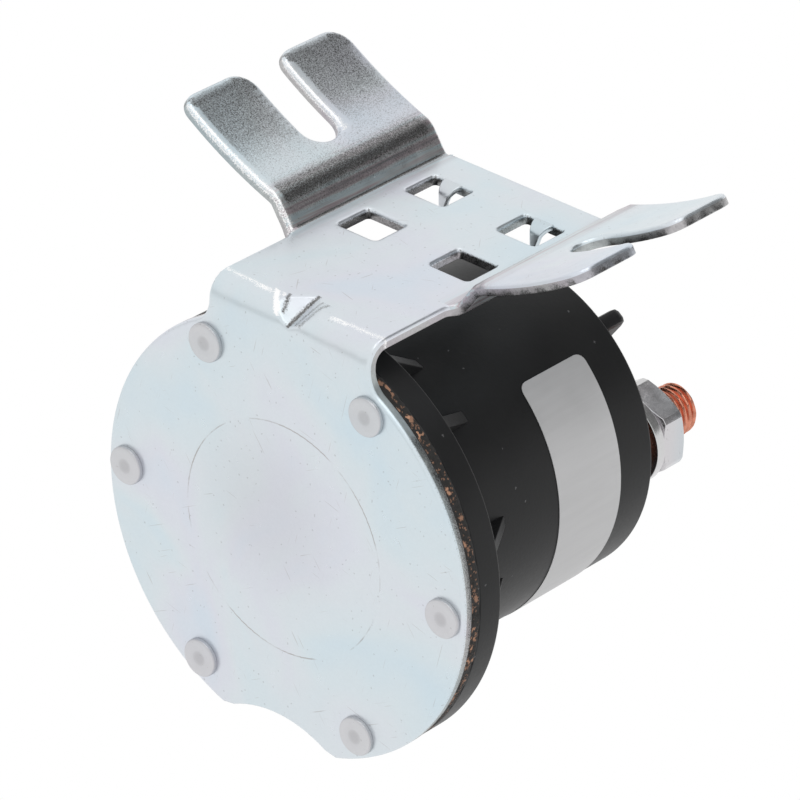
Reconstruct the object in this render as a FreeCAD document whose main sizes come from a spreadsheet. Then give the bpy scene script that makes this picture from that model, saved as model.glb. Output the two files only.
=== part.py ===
import FreeCAD, Part
import os
import re
import Sketcher

# Bracket-mounted DC contactor with a riveted cover, a moulded round case, two
# power studs and two coil studs. Millimetres. Every sub-part is drawn from the
# middle of the cover's outer face: x across the bracket, y along the case
# towards the studs, z up. The finished row frame has its origin in the middle
# of the bracket's platform, on its upper face.

Vector = FreeCAD.Vector
document = FreeCAD.newDocument("dc_contactor")

# Driving dimensions
SIZES = {
    # bracket: one folded sheet with the cover disc at its lower end
    "gauge": 1.6,
    "arm_rise": 2.9,
    "platform_length": 49.2,
    "cover_to_slots": 32.8,
    "cover_radius": 32.1,
    "arm_width": 28.4,
    "arm_lap": 12.0,
    "arm_fillet": 4.0,
    "bend_radius": 1.8,
    "notch_radius": 18.2,
    "notch_depth": 4.1,
    "hole_width": 6.8,
    "hole_length": 6.3,
    "hole_corner": 0.6,
    "hole_pitch_across": 16.3,
    "hole_pitch_along": 13.8,
    "tongue_width": 3.0,
    "tongue_reach": 1.3,
    "tongue_bend": 0.7,
    "tongue_drop": 4.6,
    "dart_width": 12.6,
    "dart_leg": 5.2,
    "dart_edge": 0.3,
    "dart_point": 0.05,
    "dart_clearance": 0.4,
    "dart_relief": 9.0,
    "ear_start": 16.9,
    "ear_length": 32.0,
    "ear_lap": 2.0,
    "ear_foot": 0.5,
    "joggle_angle": 55.0,
    "joggle_rise": 4.0,
    "joggle_bend": 0.6,
    "flare_angle": 19.0,
    "flare_radius": 70.0,
    "ear_tip": 35.0,
    "ear_corner": 4.0,
    "slot_width": 6.5,
    "slot_end": 21.7,
    "slot_flat": 0.05,
    # cover rivets and gasket
    "rivet_edge": 3.5,
    "rivet_count": 6,
    "rivet_shank": 1.9,
    "rivet_play": 0.05,
    "rivet_head": 2.95,
    "rivet_head_height": 0.7,
    "rivet_head_bevel": 0.35,
    "rivet_tail": 2.6,
    "rivet_tail_height": 1.2,
    "rivet_seat": 1.4,
    "gasket_thickness": 1.8,
    "gasket_inset": 0.1,
    "gasket_width": 9.0,
    # moulded case
    "flange_inset": 0.1,
    "flange_thickness": 4.25,
    "flange_edge": 0.4,
    "case_inset": 8.2,
    "case_length": 45.8,
    "case_edge": 0.4,
    "case_wall": 2.1,
    "end_wall": 6.0,
    "gusset_angle": 11.5,
    "gusset_width": 1.8,
    "gusset_setback": 1.4,
    "gusset_length": 10.5,
    "gusset_lap": 1.0,
    "fin_angle": 54.0,
    "fin_width": 2.4,
    "fin_height": 5.0,
    "fin_setback": 0.5,
    "fin_reach": 10.9,
    "fin_corner": 1.8,
    "fin_edge": 0.7,
    "boss_radius": 4.6,
    "boss_height": 2.0,
    "label_start": 29.2,
    "label_width": 13.0,
    "label_thickness": 0.12,
    "label_top_angle": 49.0,
    "label_span": 128.0,
    "label_corner": 1.4,
    # magnet: cup, bobbin, winding, plate and core
    "cup_play": 0.5,
    "cup_wall": 1.5,
    "cup_floor": 1.8,
    "cup_length": 25.0,
    "plate_thickness": 2.4,
    "liner_thickness": 1.0,
    "liner_hole": 4.8,
    "bobbin_wall": 1.0,
    "bobbin_flange": 1.2,
    "bobbin_play": 0.5,
    "winding_inset": 1.5,
    "core_neck": 5.5,
    "held_play": 0.02,
    "running_play": 0.06,
    # plunger and stem
    "plunger_radius": 8.0,
    "plunger_length": 11.0,
    "plunger_travel": 2.8,
    "plunger_chamfer": 0.6,
    "bumper_thickness": 1.1,
    "bumper_radius": 6.5,
    "rest_gap": 0.1,
    "stem_radius": 2.0,
    "stem_neck": 1.6,
    "stem_inset": 1.4,
    "stem_tip": 0.55,
    "seat_gap": 0.2,
    "seat_thickness": 0.8,
    "seat_radius": 4.2,
    "spring_pocket": 4.4,
    "spring_pocket_depth": 3.6,
    "return_wire": 0.4,
    "return_turns": 5,
    "contact_wire": 0.3,
    "contact_turns": 3,
    "spring_radius": 3.5,
    # moving contact
    "contact_gap": 2.0,
    "disc_reach": 1.0,
    "disc_thickness": 1.6,
    "disc_chamfer": 0.3,
    "bush_radius": 2.6,
    "bush_flange_radius": 4.6,
    "bush_flange": 1.0,
    "washer_radius": 4.4,
    "washer_thickness": 0.8,
    "clip_play": 0.05,
    "clip_thickness": 0.5,
    "clip_radius": 2.9,
    "clip_groove": 1.25,
    "clip_mouth": 60.0,
    # power studs, lock washers and nuts
    "stud_inset": 8.4,
    "stud_radius": 3.97,
    "stud_root": 3.45,
    "stud_shank": 5.2,
    "stud_shoulder": 2.9,
    "stud_head": 5.8,
    "stud_head_thickness": 3.2,
    "stud_end": 16.1,
    "stud_chamfer": 0.6,
    "seal_groove": 4.5,
    "seal_width": 1.1,
    "seal_squeeze": 0.04,
    "lock_washer_radius": 6.9,
    "lock_washer_thickness": 2.0,
    "lock_washer_mouth": 9.0,
    "nut_flats": 12.7,
    "nut_thickness": 4.76,
    "nut_turn": 35.0,
    "nut_play": 0.05,
    "nut_bevel": 28.0,
    # coil studs, their fasteners and the leads
    "coil_stud_inset": 9.9,
    "coil_stud_radius": 2.41,
    "coil_stud_root": 2.05,
    "coil_stud_head": 3.6,
    "coil_stud_head_thickness": 1.6,
    "coil_stud_end": 9.0,
    "coil_stud_chamfer": 0.4,
    "coil_washer_radius": 4.3,
    "coil_washer_thickness": 1.2,
    "coil_nut_flats": 9.53,
    "coil_nut_thickness": 2.9,
    "lead_inset": 0.7,
    "lead_radius": 0.5,
    "lead_hole": 0.75,
    "lead_bend": 1.1,
    "lead_reach": 3.0,
}

# Sizes that follow from others
FOLLOWING = {
    "platform_height": "cover_radius + arm_rise",
    "notch_apex": "cover_radius - notch_depth",
    "rivet_circle": "cover_radius - rivet_edge",
    "gasket_radius": "cover_radius - gasket_inset",
    "gasket_bore": "gasket_radius - gasket_width",
    "flange_radius": "cover_radius - flange_inset",
    "gusset_top": "flange_radius - gusset_setback",
    "case_radius": "cover_radius - case_inset",
    "cavity_radius": "case_radius - case_wall",
    "fin_outer": "case_radius - fin_setback",
    "fin_inner": "fin_outer - fin_reach",
    "cup_radius": "cavity_radius - cup_play",
    "bobbin_radius": "cup_radius - cup_wall - bobbin_play",
    "winding_radius": "bobbin_radius - winding_inset",
    "stud_offset": "case_radius - stud_inset",
    "disc_radius": "stud_offset + disc_reach",
    "coil_stud_offset": "case_radius - coil_stud_inset",
    "lead_offset": "bobbin_radius - lead_inset",
    "lead_tail": "coil_stud_offset + lead_reach",
}

sheet = document.addObject("Spreadsheet::Sheet", "dims")
cells = list(SIZES.items()) + [(name, "=" + rule) for name, rule in FOLLOWING.items()]
for row, (name, value) in enumerate(cells, 1):
    sheet.set("A%d" % row, name)
    sheet.set("B%d" % row, str(value))
    sheet.setAlias("B%d" % row, name)
    document.recompute()

# Places along the case, each a sum of the thicknesses in front of it
FLANGE_START = "(gauge + gasket_thickness)"
FLANGE_END = "(gauge + gasket_thickness + flange_thickness)"
TAIL_START = "(gauge + gasket_thickness + flange_thickness - rivet_seat)"
CASE_END = "(gauge + gasket_thickness + case_length)"
CAVITY_END = "(gauge + gasket_thickness + case_length - end_wall)"
CUP_INSIDE = "(gauge + cup_floor)"
CUP_END = "(gauge + cup_length)"
PLATE_END = "(gauge + cup_length + plate_thickness)"
LINER_END = "(gauge + cup_length + plate_thickness + liner_thickness)"
PLUNGER_BACK = "(gauge + cup_floor + bumper_thickness + rest_gap)"
PLUNGER_FRONT = "(gauge + cup_floor + bumper_thickness + rest_gap + plunger_length)"
CORE_BACK = "(gauge + cup_floor + bumper_thickness + rest_gap + plunger_length + plunger_travel)"
RETURN_START = "(%s - spring_pocket_depth)" % PLUNGER_FRONT
RETURN_END = "(%s + spring_pocket_depth)" % CORE_BACK
HEAD_FACE = "(%s - stud_head_thickness)" % CAVITY_END
DISC_FRONT = "(%s - contact_gap)" % HEAD_FACE
DISC_BACK = "(%s - disc_thickness)" % DISC_FRONT
BUSH_BACK = "(%s - bush_flange)" % DISC_BACK
SEAT_BACK = "(%s + seat_gap)" % LINER_END
SEAT_FRONT = "(%s + seat_thickness)" % SEAT_BACK
CLIP_BACK = "(%s + washer_thickness + clip_play)" % DISC_FRONT
CLIP_FRONT = "(%s + clip_thickness + clip_play)" % CLIP_BACK
STEM_END = "(%s + stem_tip)" % CLIP_FRONT
STUD_SHOULDER = "(%s + stud_shoulder)" % CASE_END
WASHER_END = "(%s + lock_washer_thickness)" % STUD_SHOULDER
NUT_END = "(%s + nut_thickness)" % WASHER_END
BOSS_END = "(%s + boss_height)" % CASE_END
COIL_WASHER_END = "(%s + coil_washer_thickness)" % BOSS_END
COIL_NUT_END = "(%s + coil_nut_thickness)" % COIL_WASHER_END
COIL_HEAD_FACE = "(%s - coil_stud_head_thickness)" % CAVITY_END
BORE = "(plunger_radius + running_play)"
TUBE = "(plunger_radius + running_play + bobbin_wall)"
PLATFORM_UNDERSIDE = "(platform_height - gauge)"

RIGHT, LEFT = 1, -1
TOUCH = 0.001

exports = {}


def bound(text):
    """The expression with the name of every size pointed at the sheet."""
    def point(word):
        known = word.group() in SIZES or word.group() in FOLLOWING
        return "dims." + word.group() if known else word.group()
    return re.sub(r"[a-z][a-z_]*", point, text)


def size(text):
    """The expression's present value in millimetres or degrees."""
    return float(sheet.evalExpression(text))


def place(item, x, y, z):
    """Put an object at a place given from the middle of the cover's outer face."""
    item.setExpression("Placement.Base.x", bound(x))
    item.setExpression("Placement.Base.y", bound("%s - cover_to_slots" % y))
    item.setExpression("Placement.Base.z", bound("%s - platform_height" % z))


def new_body(label, x="0", z="0", kept=True):
    """A body whose y axis runs along the case at x, z."""
    body = document.addObject("PartDesign::Body", label)
    body.Label = label
    place(body, x, "0", z)
    if kept:
        exports[label] = body
    return body


def origin_part(body, role):
    """The origin plane or axis of a body that has this role."""
    return [item for item in body.Origin.OriginFeatures if item.Role == role][0]


def new_sketch(body, name, plane, offset="0", turn="0"):
    """A sketch on an origin plane, moved along its normal and turned about its upright."""
    sketch = body.newObject("Sketcher::SketchObject", name)
    sketch.AttachmentSupport = (origin_part(body, plane), [""])
    sketch.MapMode = "FlatFace"
    sketch.AttachmentOffset = FreeCAD.Placement(Vector(), FreeCAD.Rotation(Vector(0, 1, 0), 0))
    if offset != "0":
        sketch.setExpression("AttachmentOffset.Base.z", bound(offset))
    if turn != "0":
        sketch.AttachmentOffset = FreeCAD.Placement(Vector(), FreeCAD.Rotation(Vector(0, 1, 0), size(turn)))
        sketch.setExpression("AttachmentOffset.Rotation.Angle", bound(turn))
    return sketch


def pin(sketch, item, end, across, up):
    """Bind one point of a sketch to its two expressions."""
    for kind, text, axis in (("DistanceX", across, -2), ("DistanceY", up, -1)):
        if text == "0":
            sketch.addConstraint(Sketcher.Constraint("PointOnObject", item, end, axis))
        else:
            index = sketch.addConstraint(Sketcher.Constraint(kind, -1, 1, item, end, size(text)))
            sketch.setExpression("Constraints[%d]" % index, bound(text))


def outline(body, name, plane, corners, arcs=None, offset="0", turn="0", closed=True):
    """Straight sides between bound corners; arcs maps a side to (centre x, centre y, ccw)."""
    sketch = new_sketch(body, name, plane, offset, turn)
    arcs = arcs or {}
    points = [Vector(size(across), size(up), 0) for across, up in corners]
    count = len(points) if closed else len(points) - 1
    ends = []
    for side in range(count):
        start = points[side]
        finish = points[(side + 1) % len(points)]
        if side in arcs:
            across, up, counterclockwise = arcs[side]
            centre = Vector(size(across), size(up), 0)
            first, last = (start, finish) if counterclockwise else (finish, start)
            angles = [Vector(1, 0, 0).getAngle(spot - centre) * (1 if spot.y >= centre.y else -1)
                      for spot in (first, last)]
            circle = Part.Circle(centre, Vector(0, 0, 1), (start - centre).Length)
            item = sketch.addGeometry(Part.ArcOfCircle(circle, angles[0], angles[1]), False)
            ends.append((item, 1, 2) if counterclockwise else (item, 2, 1))
        else:
            item = sketch.addGeometry(Part.LineSegment(start, finish), False)
            ends.append((item, 1, 2))
    for side in range(count if closed else count - 1):
        here = ends[side]
        beyond = ends[(side + 1) % count]
        sketch.addConstraint(Sketcher.Constraint("Coincident", here[0], here[2], beyond[0], beyond[1]))
    for side, (across, up) in enumerate(corners):
        if side < count:
            pin(sketch, ends[side][0], ends[side][1], across, up)
        else:
            pin(sketch, ends[-1][0], ends[-1][2], across, up)
    for side, (across, up, counterclockwise) in arcs.items():
        chord = points[(side + 1) % len(points)] - points[side]
        if abs(chord.y) > abs(chord.x):
            kind, text = "DistanceX", across
        else:
            kind, text = "DistanceY", up
        if text == "0":
            axis = -2 if kind == "DistanceX" else -1
            sketch.addConstraint(Sketcher.Constraint("PointOnObject", ends[side][0], 3, axis))
        else:
            constraint = Sketcher.Constraint(kind, -1, 1, ends[side][0], 3, size(text))
            index = sketch.addConstraint(constraint)
            sketch.setExpression("Constraints[%d]" % index, bound(text))
    return sketch


def circles(body, name, plane, places, radius, offset="0"):
    """A sketch of equal circles at bound places."""
    sketch = new_sketch(body, name, plane, offset)
    for across, up in places:
        centre = Vector(size(across), size(up), 0)
        item = sketch.addGeometry(Part.Circle(centre, Vector(0, 0, 1), size(radius)), False)
        pin(sketch, item, 3, across, up)
        index = sketch.addConstraint(Sketcher.Constraint("Radius", item, size(radius)))
        sketch.setExpression("Constraints[%d]" % index, bound(radius))
    return sketch


def tip(body, feature):
    """Recompute, make the feature the body's tip and check that it holds."""
    document.recompute()
    body.Tip = feature
    document.recompute()
    if "Invalid" in feature.State or "Error" in feature.State or feature.Shape.isNull():
        raise ValueError("%s: %s failed" % (body.Label, feature.Label))
    return feature


def pad(body, name, sketch, length, backwards=False, midplane=False):
    """Add the sketch's section along its normal, against it, or half each way."""
    feature = body.newObject("PartDesign::Pad", name)
    feature.Profile = sketch
    feature.setExpression("Length", bound(length))
    feature.Reversed = backwards
    feature.Midplane = midplane
    return tip(body, feature)


def checked_cut(body, feature):
    """Make a cutting feature the tip and make sure that it took something away."""
    before = body.Shape.Volume
    tip(body, feature)
    if body.Shape.Volume > before - TOUCH:
        raise ValueError("%s: %s cuts nothing" % (body.Label, feature.Label))
    return feature


def pocket(body, name, sketch, length, upwards=False):
    """Cut the sketch's section: along y from the origin's plane, or upwards from below."""
    feature = body.newObject("PartDesign::Pocket", name)
    feature.Profile = sketch
    feature.setExpression("Length", bound(length))
    feature.Reversed = upwards
    return checked_cut(body, feature)


def turned(body, name, corners, arcs=None, sweep="360", turn="0"):
    """A piece turned about the body's y axis from corners given as radius and place."""
    section = outline(body, name + "_section", "XY_Plane", corners, arcs, turn=turn)
    feature = body.newObject("PartDesign::Revolution", name)
    feature.Profile = section
    feature.ReferenceAxis = (section, ["V_Axis"])
    feature.setExpression("Angle", bound(sweep))
    return tip(body, feature)


def turned_cut(body, name, corners):
    """A groove turned about the body's y axis."""
    section = outline(body, name + "_section", "XY_Plane", corners)
    feature = body.newObject("PartDesign::Groove", name)
    feature.Profile = section
    feature.ReferenceAxis = (section, ["V_Axis"])
    feature.Angle = 360
    return checked_cut(body, feature)


def around(body, name, features, count):
    """Repeat features round the body's y axis."""
    feature = body.newObject("PartDesign::PolarPattern", name)
    feature.Originals = features
    feature.Axis = (origin_part(body, "Y_Axis"), [""])
    feature.Angle = 360
    feature.setExpression("Occurrences", bound(count))
    return tip(body, feature)


def mirrored(body, name, features, plane="YZ_Plane"):
    """Repeat features on the other side of an origin plane."""
    feature = body.newObject("PartDesign::Mirrored", name)
    feature.Originals = features
    feature.MirrorPlane = (origin_part(body, plane), [""])
    return tip(body, feature)


def lies(edge, **places):
    """Whether every end of an edge has the given coordinates."""
    return all(abs(getattr(vertex.Point, axis) - value) < TOUCH
               for vertex in edge.Vertexes for axis, value in places.items())


def dressed(body, name, kind, amount, wanted):
    """Fillet or chamfer the tip's edges that the test picks out."""
    base = body.Tip
    names = ["Edge%d" % (index + 1) for index, edge in enumerate(base.Shape.Edges) if wanted(edge)]
    if not names:
        raise ValueError("%s: no edge for %s" % (body.Label, name))
    feature = body.newObject("PartDesign::" + kind, name)
    feature.Base = (base, names)
    feature.setExpression("Radius" if kind == "Fillet" else "Size", bound(amount))
    return tip(body, feature)


def group(label, master, places):
    """Copies of one fastener at several x, z places, as one node."""
    links = []
    for index, (x, z) in enumerate(places):
        link = document.addObject("App::Link", "%s_%d" % (label, index + 1))
        link.LinkedObject = master
        place(link, x, "0", z)
        links.append(link)
    bunch = document.addObject("Part::Compound", label)
    bunch.Label = label
    bunch.Links = links
    exports[label] = bunch
    return bunch


def spring(label, wire, turns, start, finish):
    """A helical compression spring about the case's axis between two seats."""
    body = new_body(label)
    section = circles(body, "wire_section", "XY_Plane", [("spring_radius", "%s + %s" % (start, wire))], wire)
    coil = body.newObject("PartDesign::AdditiveHelix", "coil")
    coil.Profile = section
    coil.ReferenceAxis = (section, ["V_Axis"])
    coil.Mode = "height-turns-angle"
    coil.setExpression("Height", bound("%s - %s - 2 * %s" % (finish, start, wire)))
    coil.setExpression("Turns", bound(turns))
    tip(body, coil)
    return body


def make_mounting_bracket():
    """One sheet: cover disc, arm, platform, ears, dart and hook tongues."""
    body = new_body("mounting_bracket")
    disc = circles(body, "cover_circle", "XZ_Plane", [("0", "0")], "cover_radius")
    pad(body, "cover_disc", disc, "gauge", backwards=True)

    # arm and platform, folded over the case
    arm = outline(body, "arm_section", "YZ_Plane", [
        ("0", "cover_radius - arm_lap"),
        ("gauge", "cover_radius - arm_lap"),
        ("gauge", PLATFORM_UNDERSIDE),
        ("platform_length", PLATFORM_UNDERSIDE),
        ("platform_length", "platform_height"),
        ("0", "platform_height")])
    pad(body, "arm", arm, "arm_width", midplane=True)
    side = size("arm_width") / 2
    top = size("platform_height")
    gauge = size("gauge")
    shoulder = size("sqrt(cover_radius^2 - (arm_width / 2)^2)")
    dressed(body, "arm_fillets", "Fillet", "arm_fillet", lambda edge: (
        abs(abs(edge.CenterOfMass.x) - side) < TOUCH
        and abs(edge.CenterOfMass.y - gauge / 2) < TOUCH
        and lies(edge, z=shoulder)))
    dressed(body, "bend_inside", "Fillet", "bend_radius",
            lambda edge: lies(edge, y=gauge, z=top - gauge) and edge.Length > side)
    dressed(body, "bend_outside", "Fillet", "bend_radius + gauge",
            lambda edge: lies(edge, y=0, z=top))

    round_notch(body, "2 * gauge")

    # one ear: joggle up from the platform, then a flare that steepens to its tip
    foot = "(arm_width / 2 + ear_foot)"
    head_x = "(%s + joggle_rise / tan(joggle_angle))" % foot
    head_z = "(platform_height + joggle_rise)"
    arc_x = "(%s - flare_radius * sin(flare_angle))" % head_x
    arc_z = "(%s + flare_radius * cos(flare_angle))" % head_z
    tip_angle = "asin((ear_tip - %s) / flare_radius)" % arc_x
    tip_z = "(%s - flare_radius * cos(%s))" % (arc_z, tip_angle)
    low_tip_x = "(%s + (flare_radius + gauge) * sin(%s))" % (arc_x, tip_angle)
    low_tip_z = "(%s - (flare_radius + gauge) * cos(%s))" % (arc_z, tip_angle)
    half_turn = "(joggle_angle / 2 + flare_angle / 2)"
    half_fold = "(joggle_angle / 2 - flare_angle / 2)"
    low_head_x = "(%s + gauge / cos(%s) * sin(%s))" % (head_x, half_fold, half_turn)
    low_head_z = "(%s - gauge / cos(%s) * cos(%s))" % (head_z, half_fold, half_turn)
    low_foot_x = "(%s + gauge * tan(joggle_angle / 2))" % foot
    ear = outline(body, "ear_section", "XZ_Plane", [
        ("%s - ear_lap" % foot, "platform_height"),
        ("%s - ear_lap" % foot, PLATFORM_UNDERSIDE),
        (low_foot_x, PLATFORM_UNDERSIDE),
        (low_head_x, low_head_z),
        (low_tip_x, low_tip_z),
        ("ear_tip", tip_z),
        (head_x, head_z),
        (foot, "platform_height")],
        arcs={3: (arc_x, arc_z, True), 5: (arc_x, arc_z, False)}, offset="-ear_start")
    ears = [pad(body, "ear", ear, "ear_length", backwards=True)]
    slot = outline(body, "slot_outline", "XY_Plane", [
        ("slot_end", "cover_to_slots + slot_width / 2"),
        ("slot_end", "cover_to_slots - slot_width / 2"),
        ("ear_tip + ear_corner", "cover_to_slots - slot_width / 2"),
        ("ear_tip + ear_corner", "cover_to_slots + slot_width / 2")])
    ears.append(pocket(body, "ear_slot", slot, "2 * platform_height", upwards=True))
    mirrored(body, "other_ear", ears)
    closed_end = size("slot_end")
    dressed(body, "slot_ends", "Fillet", "slot_width / 2 - slot_flat", lambda edge: (
        len(edge.Vertexes) == 2
        and all(abs(abs(vertex.X) - closed_end) < TOUCH for vertex in edge.Vertexes)
        and lies(edge, y=edge.CenterOfMass.y)))

    # fillets along the joggle's folds and round the ear's tab corners
    near = size("ear_start")
    far = size("ear_start + ear_length")
    folds = {"inner": [(size(foot), top), (size(low_head_x), size(low_head_z))],
             "outer": [(size(head_x), size(head_z)), (size(low_foot_x), size(PLATFORM_UNDERSIDE))]}
    for kind, radius in (("inner", "joggle_bend"), ("outer", "joggle_bend + gauge")):
        dressed(body, "joggle_%s" % kind, "Fillet", radius, lambda edge, spots=folds[kind]: any(
            abs(abs(vertex.X) - x) < TOUCH and abs(vertex.Z - z) < TOUCH
            for x, z in spots for vertex in edge.Vertexes[:1])
            and len(edge.Vertexes) == 2
            and abs(abs(edge.Vertexes[0].Y - edge.Vertexes[1].Y) - (far - near)) < TOUCH)
    inner_tip = size("slot_end + slot_width / 2")
    dressed(body, "tab_corners", "Fillet", "ear_corner", lambda edge: (
        len(edge.Vertexes) == 2
        and abs(edge.Length - gauge) < TOUCH
        and abs(edge.CenterOfMass.x) > inner_tip + gauge
        and lies(edge, y=edge.CenterOfMass.y)))

    # four square holes in the platform
    holes = [outline(body, "hole_outline_%d%d" % (across, along), "XY_Plane",
                     [("%d * hole_pitch_across / 2 + %d * hole_width / 2" % (across, a),
                       "cover_to_slots + %d * hole_pitch_along / 2 + %d * hole_length / 2" % (along, b))
                      for a, b in ((1, 1), (-1, 1), (-1, -1), (1, -1))])
             for across in (RIGHT, LEFT) for along in (RIGHT, LEFT)]
    for hole in holes:
        pocket(body, hole.Name.replace("outline", "cut"), hole, "2 * platform_height", upwards=True)
    hole_x = [size("hole_pitch_across / 2 + %d * hole_width / 2" % a) for a in (1, -1)]
    dressed(body, "hole_corners", "Fillet", "hole_corner", lambda edge: (
        len(edge.Vertexes) == 2
        and abs(edge.Length - gauge) < TOUCH
        and any(abs(abs(edge.CenterOfMass.x) - x) < TOUCH for x in hole_x)
        and abs(edge.CenterOfMass.z - (top - gauge / 2)) < TOUCH))

    # a hook tongue left standing in each far hole
    root = "(cover_to_slots + hole_pitch_along / 2 + hole_length / 2)"
    bend_y = "(%s - tongue_reach)" % root
    bend_z = "(platform_height - gauge - tongue_bend)"
    face = "(%s - tongue_bend - gauge)" % bend_y
    back = "(%s - tongue_bend)" % bend_y
    foot_z = "(platform_height - tongue_drop)"
    hook = outline(body, "tongue_section", "YZ_Plane", [
        ("%s + gauge" % root, "platform_height"),
        (bend_y, "platform_height"),
        (face, bend_z),
        (face, foot_z),
        (back, foot_z),
        (back, bend_z),
        (bend_y, PLATFORM_UNDERSIDE),
        ("%s + gauge" % root, PLATFORM_UNDERSIDE)],
        arcs={1: (bend_y, bend_z, True), 5: (bend_y, bend_z, False)},
        offset="hole_pitch_across / 2 - tongue_width / 2")
    mirrored(body, "other_tongue", [pad(body, "tongue", hook, "tongue_width")])

    hole = circles(body, "rivet_hole", "XZ_Plane", [("rivet_circle", "0")], "rivet_shank + rivet_play")
    cut = pocket(body, "first_rivet_hole", hole, "2 * gauge")
    around(body, "rivet_holes", [cut], "rivet_count")

    # stiffening dart pressed into the bend: a ridge inside and a groove outside
    slope = "(dart_width / 2 / dart_leg)"
    dart_wedge(body, "dart_ridge", "Additive", "gauge / 2", "(platform_height - gauge / 2)",
               "(dart_leg + (sqrt(2) - 1) * gauge)", slope)
    dart_wedge(body, "dart_groove", "Subtractive", "-dart_edge", "(platform_height + dart_edge)",
               "(dart_leg + 2 * dart_edge)", slope)


def round_notch(body, depth):
    """Round notch in the lower edge of the cover and of what lies behind it."""
    notch = circles(body, "notch_circle", "XZ_Plane", [("0", "-notch_apex - notch_radius")], "notch_radius")
    return pocket(body, "notch", notch, depth)


def dart_wedge(body, name, kind, y, z, leg, slope):
    """A wedge from a line across the bend at y, z to a crease that cuts off a leg each way."""
    wedge = body.newObject("PartDesign::%sWedge" % kind, name)
    wedge.AttachmentSupport = (origin_part(body, "XY_Plane"), [""])
    wedge.MapMode = "FlatFace"
    wedge.AttachmentOffset = FreeCAD.Placement(Vector(), FreeCAD.Rotation(Vector(1, 0, 0), -45))
    wedge.setExpression("AttachmentOffset.Base.y", bound(y))
    wedge.setExpression("AttachmentOffset.Base.z", bound(z))
    crease = "%s / sqrt(2)" % leg
    for side, mark in (("min", "-"), ("max", "")):
        wedge.setExpression("X" + side, bound("%s(%s * %s)" % (mark, leg, slope)))
        wedge.setExpression("Z" + side, bound("%s(dart_point)" % mark))
        wedge.setExpression("X2" + side, bound("%s(dart_point)" % mark))
        wedge.setExpression("Z2" + side, bound("%s(%s)" % (mark, crease)))
    wedge.Ymin = 0
    wedge.setExpression("Ymax", bound(crease))
    return tip(body, wedge)


def dart_relief(body, start, finish):
    """Room for the dart's ridge in a ring behind the cover."""
    low = "(platform_height - dart_leg - sqrt(2) * gauge - dart_clearance + %s)"
    section = outline(body, "dart_relief_section", "YZ_Plane", [
        (start, low % start),
        (finish, low % finish),
        (finish, "platform_height"),
        (start, "platform_height")])
    feature = body.newObject("PartDesign::Pocket", "dart_relief")
    feature.Profile = section
    feature.setExpression("Length", bound("dart_relief"))
    feature.Midplane = True
    return checked_cut(body, feature)


def make_cover_gasket():
    """Cork and rubber ring between the cover and the flange."""
    body = new_body("cover_gasket")
    turned(body, "ring", [
        ("gasket_bore", "gauge"),
        ("gasket_radius", "gauge"),
        ("gasket_radius", FLANGE_START),
        ("gasket_bore", FLANGE_START)])
    hole = circles(body, "rivet_hole", "XZ_Plane", [("rivet_circle", "0")], "rivet_shank + rivet_play")
    around(body, "rivet_holes", [pocket(body, "first_rivet_hole", hole, FLANGE_END)], "rivet_count")
    round_notch(body, FLANGE_END)
    dart_relief(body, "(gauge)", FLANGE_END)


def make_cover_rivets():
    """Flat-headed rivets through cover, gasket and flange, set in seats behind the flange."""
    body = new_body("cover_rivet", kept=False)
    turned(body, "rivet", [
        ("0", "-rivet_head_height"),
        ("rivet_head - rivet_head_bevel", "-rivet_head_height"),
        ("rivet_head", "rivet_head_bevel - rivet_head_height"),
        ("rivet_head", "0"),
        ("rivet_shank", "0"),
        ("rivet_shank", TAIL_START),
        ("rivet_tail", TAIL_START),
        ("rivet_tail", "%s + rivet_tail_height / 2" % TAIL_START),
        ("rivet_shank", "%s + rivet_tail_height" % TAIL_START),
        ("0", "%s + rivet_tail_height" % TAIL_START)])
    step = 360 / size("rivet_count")
    group("cover_rivets", body, [("rivet_circle * cos(%g)" % (step * index), "rivet_circle * sin(%g)" % (step * index))
                                 for index in range(int(size("rivet_count")))])


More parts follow.
